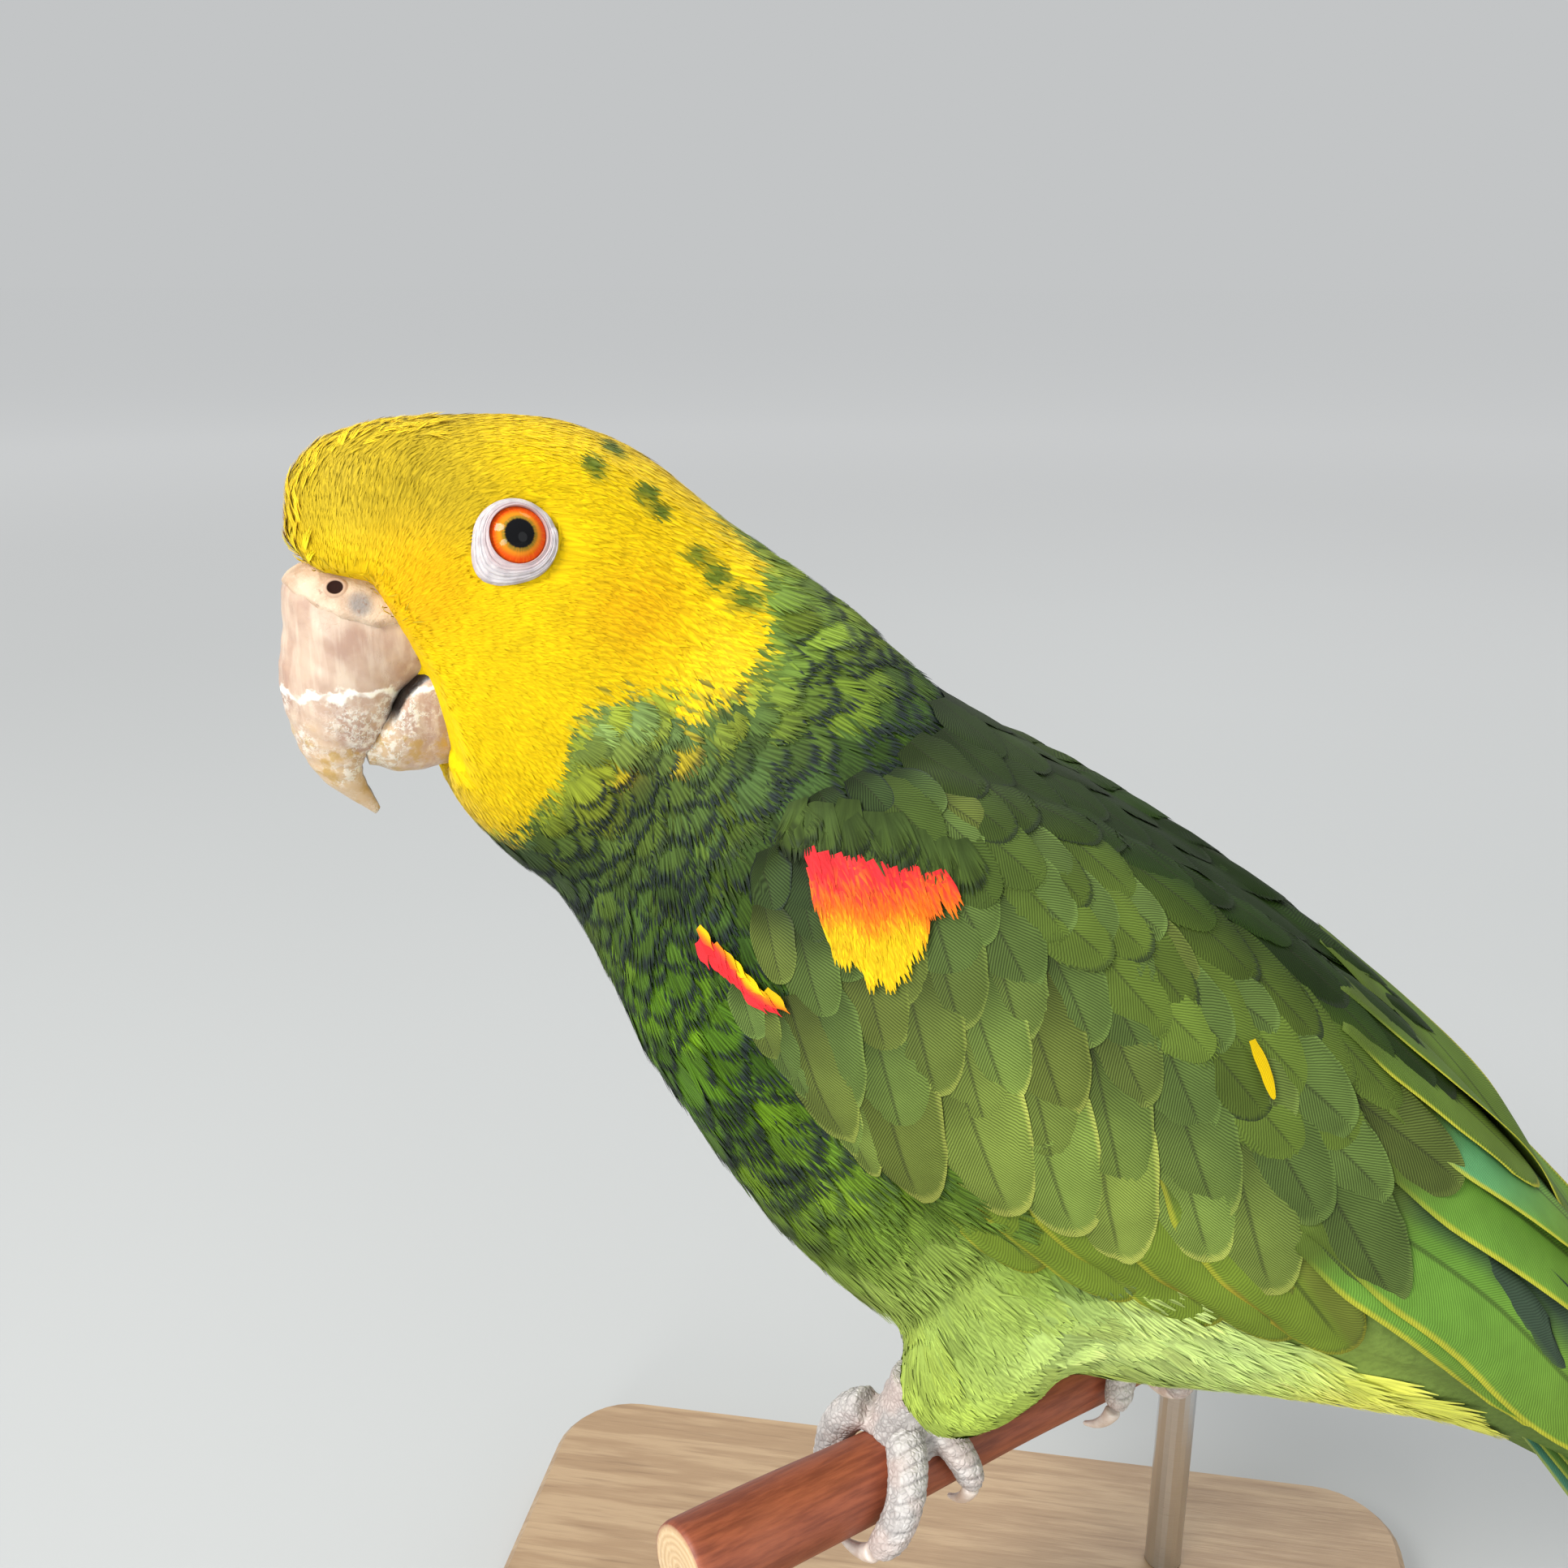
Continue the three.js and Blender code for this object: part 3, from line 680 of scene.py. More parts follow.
def coat_depth(places):
    """How deep the skin lies under the outside of the plumage, in millimetres."""
    head = on_head(places)
    s, n = on_axis(places)
    away = np.linalg.norm(head - BILL_BASE, axis=-1)
    depth = 0.5 + 1.5 * ramp(20, 66, away)
    crown = ramp(8, 22, head[:, 2]) * ramp(40, 20, head[:, 0])
    return depth - 1.5 * crown + 0.8 * ramp(-70, -30, s) * ramp(60, 40, n)


# The back edge of the cere, from its top to its bottom: back, and up.
CERE_BACK = ((-26.8, 3.6), (-17.2, -14.3))


def bareness(places):
    """How far in front of the edge of the face's feathers, where the cere and bill are bare."""
    head = on_head(places)
    (x0, z0), (x1, z1) = CERE_BACK
    span = math.hypot(x1 - x0, z1 - z0)
    ahead = -((head[:, 0] - x0) * (z0 - z1) + (head[:, 2] - z0) * (x1 - x0)) / span
    jaw = -15.5 - head[:, 0] - 0.25 * (head[:, 2] + 22)
    front = np.where(head[:, 2] < z1, jaw, ahead)
    return np.minimum(np.minimum(front, z0 + 0.6 - head[:, 2]), head[:, 2] + 31)


def make_skin():
    """One skin for head, neck, trunk, thighs and wings, set in by the depth of the coat."""
    skin = node_copy("skin", FLESH, SWELL)
    settled(skin, [
        ("REMESH", {"mode": "VOXEL", "voxel_size": SKIN_GRAIN}),
        ("SMOOTH", {"factor": 0.5, "iterations": 6}),
    ])
    keep_largest(skin)
    points = points_of(skin)
    normals = normals_of(skin)
    tree = tree_of(skin)
    thick = np.empty(len(points))
    for i, (p, n) in enumerate(zip(points, normals)):
        start = Vector(p - n * 0.0002)
        hit = tree.ray_cast(start, Vector(-n), THICKEST)
        thick[i] = hit[3] or THICKEST
    inset = np.minimum(coat_depth(bird(points)) * MM + SWELL, 0.3 * thick)
    moved = points - normals * inset[:, None]
    front = ramp(0.0, 3.5, bareness(bird(moved)))
    head = on_head(bird(moved))
    tucked = world(from_head_rows(head * (1 - front[:, None] * (0.10, 0.45, 0.0))))
    move_points(skin, np.where(front[:, None] > 0, tucked, moved))
    fill_sockets(skin)
    settled(skin, [("SMOOTH", {"factor": 0.5, "iterations": 3})])
    places = bird(points_of(skin))
    tint, _ = body_marks(places, np.full(len(places), 0.5))
    wing, _ = wing_marks(places, np.full(len(places), 0.5))
    paint(skin, "tint", blend(tint, wing, wing_share(places)))
    return skin


# The lower edge of the folded wing: station, and turn.
WING_EDGE = (
    (-106, 112), (-98, 94), (-74, 82), (-50, 82), (-30, 92), (0, 97), (30, 104), (60, 116),
    (90, 135),
)


def wing_share(places):
    """1 where a folded wing covers the body."""
    s, _ = on_axis(places)
    edge = np.interp(s, *zip(*WING_EDGE))
    return ramp(-3, 3, turn_of(places) - edge) * ramp(-107, -102, s)


def keep_largest(piece):
    """Drops the closed pockets that remeshing leaves inside."""
    bm = bmesh.new()
    bm.from_mesh(piece.data)
    unseen = set(bm.verts)
    groups = []
    while unseen:
        seed = unseen.pop()
        group = [seed]
        front = [seed]
        while front:
            vert = front.pop()
            for edge in vert.link_edges:
                far = edge.other_vert(vert)
                if far in unseen:
                    unseen.discard(far)
                    group.append(far)
                    front.append(far)
        groups.append(group)
    groups.sort(key=len)
    for group in groups[:-1]:
        bmesh.ops.delete(bm, geom=group, context="VERTS")
    bm.to_mesh(piece.data)
    bm.free()


def unwrap(piece):
    """The unwrap of the skin's own shape that every tuft's patch lies on."""
    piece.data.uv_layers.new(name="OFBake")
    bpy.ops.object.select_all(action="DESELECT")
    bpy.context.view_layer.objects.active = piece
    piece.select_set(True)
    bpy.ops.object.mode_set(mode="EDIT")
    bpy.ops.mesh.select_all(action="SELECT")
    bpy.ops.uv.smart_project(angle_limit=math.radians(66), island_margin=0.003)
    bpy.ops.object.mode_set(mode="OBJECT")
    piece.select_set(False)


# ---------------------------------------------------------------- vanes and tufts
def bowed(u, bow):
    """How much shorter a vane is away from its shaft, so that its tip is round."""
    return 1 - bow * abs(u) ** 2.6


def vane(name, rows, columns, camber, bow=0.35, comb=0, reach=0.14, root=0.5, tail=0.85):
    """One feather's vane, one long and one wide, lying along x with its root at 0.

    A comb of free barb ends can reach past its tip.
    """
    pick = np.random.default_rng(rows + comb)

    def place(t, u):
        wide = (root + (1 - root) * ramp(0, 0.45, t)) * (1 - (1 - tail) * ramp(0.55, 1, t))
        x = t * bowed(u, bow)
        rise = x * (1 - 0.3 * ramp(0.7, 1, t))
        return x, 0.5 * u * wide, rise - camber * u * u * wide

    points = []
    shape = []
    for r in range(rows + 1):
        for c in range(columns + 1):
            u = 2 * c / columns - 1
            points.append(place(r / rows, u))
            shape.append((0.5 + 0.5 * u, r / rows))
    faces = grid_faces(rows, columns)
    for k in range(comb):
        u0, u1 = 2 * k / comb - 1, 2 * (k + 1) / comb - 1
        mid = 0.5 * (u0 + u1)
        x, y, z = place(1, mid)
        far = reach * (0.5 + 0.7 * pick.random()) * (1 - 0.4 * mid * mid)
        first = len(points)
        points += [place(0.9, u0), place(0.9, u1), (x + far, y * (1 + far), z - 0.3 * far)]
        shape += [(0.5 + 0.5 * u0, 0.9), (0.5 + 0.5 * u1, 0.9), (0.5 + 0.5 * mid, 1)]
        faces.append((first, first + 1, first + 2))
    return prototype(name, points, faces, shape)


def tuft(name, strands, steps, spread, seed, width=1.25, curl=0.0, taper=3.0, loose=0.15,
         round_off=0.2, ragged=0.25, sway=0.05):
    """A tuft of barbs that fan out from one root and part towards their tips."""
    pick = np.random.default_rng(seed)
    points = []
    shape = []
    faces = []
    for k in range(strands):
        f = 2 * (k + 0.5) / strands - 1
        reach = 1 - round_off * f * f - ragged * pick.random()
        lean = f * spread + sway * pick.normal()
        lift = 1 - loose + 2 * loose * pick.random()
        first = len(points)
        for r in range(steps + 1):
            t = r / steps
            half = 0.5 * (width / strands) * (1 - t ** taper) + 0.008
            y = lean * (0.4 + 0.6 * t) + curl * t * t * pick.normal() * 0.3
            for u in (-1, 1):
                points.append((reach * t, y + u * half, lift * t - 0.1 * f * f))
                shape.append((0.5 + 0.5 * f + 0.3 * u / strands, t))
        faces += grid_faces(steps, 1, first=first)
    return prototype(name, points, faces, shape)


def prototype(name, points, faces, shape):
    """The vane or tuft that a coat piece is made of many times over. It isn't shown itself."""
    piece = mesh_piece(name, points, [face[::-1] for face in faces])
    layer = piece.data.uv_layers.new(name="Shape")
    for loop in piece.data.loops:
        layer.data[loop.index].uv = shape[loop.vertex_index]
    piece.hide_render = True
    return piece


def coat_tree():
    """Sets one vane at each root, turned to its lie, and lays it down on the skin."""
    tree = bpy.data.node_groups.new("lay feathers", "GeometryNodeTree")
    for name, kind in (
        ("Geometry", "NodeSocketGeometry"),
        ("Vane", "NodeSocketObject"),
        ("Skin", "NodeSocketObject"),
        ("Bed", "NodeSocketFloat"),
        ("Finish", "NodeSocketMaterial"),
    ):
        tree.interface.new_socket(name, in_out="INPUT", socket_type=kind)
    tree.interface.new_socket("Geometry", in_out="OUTPUT", socket_type="NodeSocketGeometry")

    def node(kind, settings=(), sockets=(), out=0):
        return Wire.node(tree, kind, settings, sockets, out)

    def named(name):
        kind = {"data_type": "FLOAT_VECTOR"}
        return node("GeometryNodeInputNamedAttribute", kind, {"Name": name})

    given = node("NodeGroupInput")
    face = named("facing")
    turn = node(
        "FunctionNodeAxesToRotation",
        {"primary_axis": "Z", "secondary_axis": "X"},
        {"Primary Axis": named("up"), "Secondary Axis": named("lie")},
    )
    where = node("GeometryNodeInputPosition")
    kept = node(
        "GeometryNodeStoreNamedAttribute",
        {"data_type": "FLOAT_VECTOR", "domain": "POINT"},
        {"Geometry": given, "Name": "root", "Value": where},
    )
    dots = node("GeometryNodeMeshToPoints", (), {"Mesh": kept})
    shape = node("GeometryNodeObjectInfo", (), {"Object": given.other("Vane")}, "Geometry")
    placed = node("GeometryNodeInstanceOnPoints", (), {
        "Points": dots,
        "Instance": shape,
        "Rotation": turn,
        "Scale": named("size"),
    })
    real = node("GeometryNodeRealizeInstances", (), {"Geometry": placed})

    def vector_sum(operation, a, b, out="Vector"):
        return node("ShaderNodeVectorMath", {"operation": operation}, {0: a, 1: b}, out)

    def scaled(v, by):
        return node("ShaderNodeVectorMath", {"operation": "SCALE"}, {0: v, "Scale": by})

    height = vector_sum("DOT_PRODUCT", vector_sum("SUBTRACT", where, named("root")), face, "Value")
    flat = vector_sum("SUBTRACT", where, scaled(face, height))
    body = node(
        "GeometryNodeObjectInfo", {"transform_space": "RELATIVE"},
        {"Object": given.other("Skin")}, "Geometry")
    close = node(
        "GeometryNodeProximity", {"target_element": "FACES"},
        {"Geometry": body, "Sample Position": flat})
    under = node(
        "GeometryNodeSampleNearestSurface", {"data_type": "FLOAT_VECTOR"},
        {"Mesh": body, "Value": node("GeometryNodeInputNormal"), "Sample Position": flat})
    bedded = vector_sum("ADD", close, scaled(under, height + given.other("Bed")))
    moved = node("GeometryNodeSetPosition", (), {"Geometry": real, "Position": bedded})
    smooth = node("GeometryNodeSetShadeSmooth", (), {"Geometry": moved})
    finished = node(
        "GeometryNodeSetMaterial", (), {"Geometry": smooth, "Material": given.other("Finish")})
    end = tree.nodes.new("NodeGroupOutput")
    tree.links.new(finished.socket, end.inputs[0])
    return tree


def read(piece, name, width=3):
    """A field that every point of a piece carries."""
    flat = np.empty(len(piece.data.vertices) * width)
    field = "vector" if width == 3 else "value"
    piece.data.attributes[name].data.foreach_get(field, flat)
    return flat.reshape(-1, width) if width == 3 else flat


def laid(name, skin, shape, finish, roots, bed):
    """One plain mesh with a copy of the shape at every root."""
    carrier = mesh_piece(name, roots["at"], [], smooth=False)
    for field in ("facing", "up", "lie", "size", "patch"):
        vector(carrier, field, roots[field])
    for field in ("luck", "shade"):
        number(carrier, field, roots[field])
    modifier = carrier.modifiers.new("Coat", "NODES")
    modifier.node_group = lay
    items = lay.interface.items_tree
    sockets = {item.name: item.identifier for item in items if item.in_out == "INPUT"}
    modifier[sockets["Vane"]] = shape
    modifier[sockets["Skin"]] = skin
    modifier[sockets["Bed"]] = bed * MM
    modifier[sockets["Finish"]] = finish
    shown = carrier.evaluated_get(bpy.context.evaluated_depsgraph_get())
    mesh = bpy.data.meshes.new_from_object(shown)
    carrier.modifiers.clear()
    carrier.data = mesh
    return carrier


def lay_coat(name, skin, shape, finish, roots, bed, marks, share=0.5, vary=0.10):
    """Grows one coat piece from its roots: a dictionary of arrays, one row for each feather.

    A feather that a fold of the skin has crumpled or stretched is left out.
    """
    count = len(roots["at"])
    roots["luck"] = dice.random(count)
    roots["shade"] = np.clip(1 + vary * dice.normal(size=count), 0.72, 1.3)
    carrier = laid(name, skin, shape, finish, roots, bed)
    away = points_of(carrier).reshape(count, -1, 3) - roots["at"][:, None]
    along = away @ roots["lie"][:, :, None]
    across = np.linalg.norm(away, axis=-1).max(axis=1)
    long = roots["size"][:, 0]
    sound = along.max(axis=(1, 2)) > 0.55 * long
    sound &= across < 1.35 * long
    sound &= along.min(axis=(1, 2)) > -0.35 * long
    if not sound.all():
        bpy.data.objects.remove(carrier)
        carrier = laid(name, skin, shape, finish, chosen_roots(roots, sound), bed)

    places = bird(points_of(carrier))
    root = bird(read(carrier, "root"))
    middle = root + read(carrier, "lie") * read(carrier, "size")[:, :1] / MM * 0.65
    luck = read(carrier, "luck", 1)
    shade = read(carrier, "shade", 1)[:, None]
    spot = places * share + middle * (1 - share)
    ragged = 1.5 * np.sin(luck * 40 + 9.1 * shape_across(carrier))
    tint, rim = marks(spot, luck, ragged)
    paint(carrier, "tint", np.clip(tint * shade, 0, 1))
    paint(carrier, "rim", np.clip(rim * shade, 0, 1))
    bake_patches(carrier)
    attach(carrier, "root")
    return carrier


def shape_across(piece):
    """How far across its vane each point lies, 0 to 1."""
    mesh = piece.data
    verts, shape = loop_fields(mesh, "Shape")
    across = np.zeros(len(mesh.vertices))
    across[verts] = shape[:, 0]
    return across


def loop_fields(mesh, layer):
    """The point and the map place of every corner."""
    verts = np.empty(len(mesh.loops), dtype=int)
    mesh.loops.foreach_get("vertex_index", verts)
    flat = np.empty(len(mesh.loops) * 2)
    mesh.uv_layers[layer].data.foreach_get("uv", flat)
    return verts, flat.reshape(-1, 2)


PATCH = 0.003


def bake_patches(piece):
    """Gives each tuft its own small patch of the bake map, at its root's place."""
    mesh = piece.data
    verts, shape = loop_fields(mesh, "Shape")
    uv = read(piece, "patch")[verts, :2] + (shape - 0.5) * PATCH
    layer = mesh.uv_layers.new(name="OFBake")
    layer.data.foreach_set("uv", np.clip(uv, 0, 1).ravel())


# ---------------------------------------------------------------- roots over the body
def lie_of(places, facing):
    """The way the feathers point: out from the bill over the face, then down the body."""
    head = on_head(places)
    out = head - BILL_BASE
    away = np.linalg.norm(out, axis=-1)
    out = unit(out)
    out = out[:, :1] * head_back + out[:, 1:2] * head_left + out[:, 2:] * head_up
    down_neck = unit(0.8 * head_back + 0.2 * to_tail - 0.62 * head_up)
    s, _ = on_axis(places)
    along = blend(grown(down_neck, places), to_tail, ramp(-128, -100, s))
    lie = blend(out, along, ramp(20, 52, away))
    lie = lie + 0.12 * np.stack([ripple(places, 7, k) for k in (1, 3, 4)], axis=-1)
    legs = ramp(26, 12, places[:, 2]) * ramp(50, 20, places[:, 0])
    lie = blend(lie, (0.45, 0.0, -0.9), legs)
    lie = lie - facing * np.sum(lie * facing, axis=-1, keepdims=True)
    return unit(lie)


# How far from the body's axis the rays start that find its skin.
OUTSIDE = 90


class Skin:
    """The skin with what the roots ask of it: triangles, outward directions, its unwrap."""

    def __init__(self, piece):
        self.tree = tree_of(piece)
        self.tris = np.array([t.vertices for t in piece.data.loop_triangles])
        self.points = points_of(piece)
        self.normals = normals_of(piece)
        loops = np.array([t.loops for t in piece.data.loop_triangles])
        _, uv = loop_fields(piece.data, "OFBake")
        self.patches = uv[loops].mean(axis=1)

    def facing(self, picked):
        return unit(self.normals[self.tris[picked]].mean(axis=1))

    def patch(self, picked):
        return np.concatenate([self.patches[picked], np.zeros((len(picked), 1))], axis=1)

    def under(self, s, turn, side):
        """The skin at a station and turn of one side: its place and triangle, if it is there."""
        a = math.radians(turn)
        out = -math.cos(a) * to_back + np.array([0, side * math.sin(a), 0])
        middle = to_tail * s + to_back * AXIS_LEVEL
        hit = first_hit(self.tree, middle + out * OUTSIDE, -out, OUTSIDE)
        return (np.array(hit[0]), hit[2], out) if hit[0] else None


def scatter(skin, spacing, keep, tries):
    """Roots over the skin, no two nearer than the spacing given for their place."""
    a, b, c = (skin.points[skin.tris[:, k]] for k in range(3))
    area = np.linalg.norm(np.cross(b - a, c - a), axis=-1)
    area = area * keep(bird((a + b + c) / 3))
    picked = dice.choice(len(area), size=tries, p=area / area.sum())
    r1 = np.sqrt(dice.random(tries))[:, None]
    r2 = dice.random(tries)[:, None]
    spots = a[picked] * (1 - r1) + b[picked] * r1 * (1 - r2) + c[picked] * r1 * r2
    places = bird(spots)
    gaps = spacing(places)
    cell = float(gaps.max())
    keys = np.floor(places / cell).astype(int).tolist()
    around = [(i, j, k) for i in (-1, 0, 1) for j in (-1, 0, 1) for k in (-1, 0, 1)]
    cells = {}
    chosen = []
    rows = places.tolist()
    for i, (x, y, z) in enumerate(rows):
        limit = gaps[i] ** 2
        kx, ky, kz = keys[i]
        clear = True
        for dx, dy, dz in around:
            for (ox, oy, oz) in cells.get((kx + dx, ky + dy, kz + dz), ()):
                if (x - ox) ** 2 + (y - oy) ** 2 + (z - oz) ** 2 < limit:
                    clear = False
                    break
            if not clear:
                break
        if clear:
            cells.setdefault((kx, ky, kz), []).append((x, y, z))
            chosen.append(i)
    return spots[chosen], picked[chosen]


def grow(skin, spacing, keep, tries, size, swing=0.10, tilt=0.03):
    """Scattered roots with everything that a coat piece needs."""
    spots, picked = scatter(skin, spacing, keep, tries)
    places = bird(spots)
    facing = skin.facing(picked)
    lie = lie_of(places, facing)
    across = np.cross(facing, lie)
    lie = unit(lie + dice.normal(0, swing, len(places))[:, None] * across)
    up = unit(facing + dice.normal(0, tilt, len(places))[:, None] * across)
    vary = 1 + 0.12 * dice.normal(size=(len(places), 1))
    return {
        "at": spots,
        "facing": facing,
        "up": up,
        "lie": lie,
        "size": size(places) * vary * MM,
        "patch": skin.patch(picked),
    }


def chosen_roots(roots, mask):
    """The roots that a mask picks out."""
    return {field: values[mask] for field, values in roots.items()}


def evenly(value):
    """The same spacing or size at every place."""
    return lambda places: np.broadcast_to(value, (len(places), *np.shape(value)))


def laid_rows(skin, feathers):
    """Roots for feathers set one by one: station, turn, side, slant, length, width, lift, roll."""
    kept = []
    for s, turn, side, slant, length, width, lift, roll in feathers:
        found = skin.under(s, turn, side)
        if found is None:
            continue
        at, picked, out = found
        facing = skin.facing(np.array([picked]))[0]
        belly = -np.cross(to_tail, out) * side
        lie = math.cos(slant) * to_tail + math.sin(slant) * belly
        lie = unit(lie - facing * (lie @ facing))
        high = belly - facing * (belly @ facing)
        up = unit(facing + roll * unit(high))
        kept.append((at, facing, up, lie, np.array([length, width, lift]) * MM, picked))
    at, facing, up, lie, size, picked = (np.array(column) for column in zip(*kept))
    return {
        "at": at,
        "facing": facing,
        "up": up,
        "lie": lie,
        "size": size,
        "patch": skin.patch(picked.astype(int)),
    }


# ---------------------------------------------------------------- wing rows
MM_PER_DEGREE = 0.70
ROW_RISE = 0.62
ROW_FROM = -77.0
TOP_TURN = 152

# How the feathers slant from the body's own line: turn, and degrees.
SLANTS = ((76, 30), (100, 37), (122, 38), (134, 30), (142, 12), (150, 2))


def row_turn(level, s):
    """The turn of a row at a station: rows climb towards the tail."""
    return level + ROW_RISE * (s - ROW_FROM)


def slant_at(s, turn):
    """How far the wing's feathers point below the body's own line, in degrees."""
    front = np.interp(turn, *zip(*SLANTS)) * float(ramp(4, -30, s))
    return front + 10 * float(ramp(-30, 4, s)) * float(ramp(145, 125, turn))


# Each row of coverts: level, first and last station, spacing, length, width, lift.
COVERT_ROWS = (
    (99, -86, -10, 10.4, 32, 16.5, 2.4),
    (109, -92, -6, 9.6, 27, 14.5, 2.1),
    (118, -99, -16, 8.4, 21, 13.5, 1.7),
    (126, -102, -22, 7.8, 17, 12.5, 1.4),
    (134, -104, -28, 7.4, 16, 12.0, 1.3),
    (142, -104, -38, 7.4, 15, 12.0, 1.2),
    (150, -104, -48, 7.4, 15, 11.5, 1.2),
    (158, -104, -60, 7.4, 15, 11.5, 1.2),
)


def covert_rows(side):
    """The wing's coverts, in rows that climb from the bend towards the back."""
    feathers = []
    for row, (level, first, last, gap, length, width, lift) in enumerate(COVERT_ROWS):
        along = first + 0.5 * gap * (row % 2)
        while along < last:
            s = along + 0.8 * dice.normal()
            along += gap * (0.60 + 0.40 * float(ramp(-102, -80, along)))
            turn = row_turn(level, s) + 1.4 * dice.normal()
            if turn > TOP_TURN:
                continue
            young = 0.62 + 0.38 * float(ramp(-102, -80, s))
            slant = math.radians(slant_at(s, turn) + 3.0 * dice.normal())
            grow_by = young * (1 + 0.07 * dice.normal())
            back = 5.0 if row == 0 else 3.0
            s -= back * math.cos(slant)
            turn += back * math.sin(slant) / MM_PER_DEGREE
            feathers.append((
                s, turn, side, slant, length * grow_by, width * grow_by, lift * grow_by, 0.07))
    for i in range(8):
        s = -97 + 3.2 * i
        feathers.append((s, 90 - 0.5 * i, side, math.radians(36), 10 + 0.9 * i, 7.5, 1.0, 0.06))
    return feathers


def scapular_rows(side):
    """The long soft feathers that cover the root of the wing and the shoulder."""
    feathers = []
    gap = 8.5
    for k, turn_low in enumerate((177, 168, 159, 150, 142)):
        first = -100 + 4 * (k % 2)
        last = -16 - 5 * k
        for i in range(int((last - first) / gap) + 1):
            s = first + gap * i + 1.0 * dice.normal()
            turn = turn_low - 2.5 * float(ramp(-60, -20, s)) + 1.5 * dice.normal()
            grow_by = float(ramp(-100, -20, s))
            length = 15 + 14 * grow_by
            width = 11 + 1.5 * grow_by
            lift = 1.2 + 0.6 * grow_by
            slant = math.radians(12 + 4 * dice.normal())
            feathers.append((s, turn, side, slant, length, width, lift, 0.04))
    return feathers


def patch_rows(side):
    """Thin tufts in the red, orange and yellow of the shoulder."""
    feathers = []
    for _ in range(800):
        s = -107 + 28 * float(dice.random())
        turn = 104 + 34 * float(dice.random())
        deep = float(inside(SHOULDER, np.array([s]), np.array([turn]))[0])
        if deep > 0.3:
            slant = math.radians(slant_at(s, turn) + 7 * dice.normal())
            feathers.append((s, turn, side, slant, 6.0, 3.2, 0.45, 0.05))
    return feathers


def bend_rows(side):
    """Slender tufts that run along the red and yellow of the bend of the wing."""
    feathers = []
    for row, lift in ((-1.8, 0.3), (-0.3, 0.45), (1.2, 0.6)):
        for i in range(10):
            f = (i + 0.3 * abs(row)) / 10
            s = -105.5 + 12.5 * f + 0.5 * dice.normal()
            turn = 88.6 + 4.4 * f + row * (1 - 0.4 * f) + 0.4 * dice.normal()
            slant = math.radians(-2 + 7 * dice.normal())
            feathers.append((s, turn, side, slant, 5.0, 2.0, lift, 0.05))
    return feathers


def fringe_rows(side):
    """Olive points that hang over the top edge of the shoulder's red."""
    feathers = []
    (s0, turn0), (s1, turn1) = SHOULDER[:2]
    count = 15
    for i in range(count):
        f = (i + 0.5) / count
        s = s0 - 5 + (s1 - s0 + 4) * f + 0.6 * dice.normal()
        turn = turn0 + 6.0 + (turn1 - turn0) * f + 1.2 * dice.normal()
        length = 7.5 + 4.0 * float(dice.random())
        slant = math.radians(50 + 6 * dice.normal())
        feathers.append((s, turn, side, slant, length, 8.0, 0.8, 0.05))
    return feathers


def fleck_rows(side):
    """The one yellow feather in each wing."""
    return [(-32.5, 145.2, side, math.radians(33), 9.0, 1.9, 0.3, 0.0)]


# The flight feathers, outermost first: station and turn of root and tip, then width. Those
# with a 1 are set out by their lower edge, the others by their shaft.
FLIGHT = (
    (-66, 92, -31, 78, 14, 0),
    (-56, 98, -17, 88, 16, 0),
    (-46, 105, -4, 97, 18, 0),
    (-38, 113, 6.4, 106, 18, 0),
    (-30, 124, 14.4, 113.4, 19, 0),
    (-12, 118, 60, 131, 19, 1),
    (-10, 121, 80, 139, 21, 1),
    (-10, 139, 76, 155, 19, 1),
    (-8, 148, 62, 162, 18, 1),
    (-20, 155, 26, 159, 14, 1),
    (-22, 163, 46, 171, 14, 1),
)


def quill(path, width, outward, thick, rows=26, columns=10, bow=0.2, camber=0.7):
    """A stiff feather along a path: closed, thin, cambered, with its shape's coordinates."""
    points = []
    shape = []
    for layer in (1, -1):
        for r in range(rows + 1):
            t = r / rows
            ahead = unit(path(min(1, t + 0.02)) - path(max(0, t - 0.02)))
            up = outward(t)
            side = unit(np.cross(up, ahead))
            up = np.cross(ahead, side)
            wide = width * (0.7 + 0.3 * float(ramp(0, 0.3, t)))
            wide *= 1 - 0.2 * float(ramp(0.6, 1, t))
            for c in range(columns + 1):
                u = 2 * c / columns - 1
                drop = camber * u * u * (wide / width)
                edge = 1 if 0 < r < rows and 0 < c < columns else 0.15
                lift = layer * thick * 0.5 * edge - drop
                points.append(path(t * bowed(u, bow)) + side * (0.5 * u * wide) + up * lift)
                shape.append((0.5 + 0.5 * u, t))
    wide = columns + 1
    sheet = (rows + 1) * wide
    faces = grid_faces(rows, columns)
    faces += [face[::-1] for face in grid_faces(rows, columns, first=sheet)]
    for c in range(columns):
        faces.append((c + 1, c, c + sheet, c + 1 + sheet))
        a = rows * wide + c
        faces.append((a, a + 1, a + 1 + sheet, a + sheet))
    for r in range(rows):
        a = r * wide
        faces.append((a, a + wide, a + wide + sheet, a + sheet))
        a += columns
        faces.append((a + wide, a, a + sheet, a + wide + sheet))
    return points, [face[::-1] for face in faces], shape


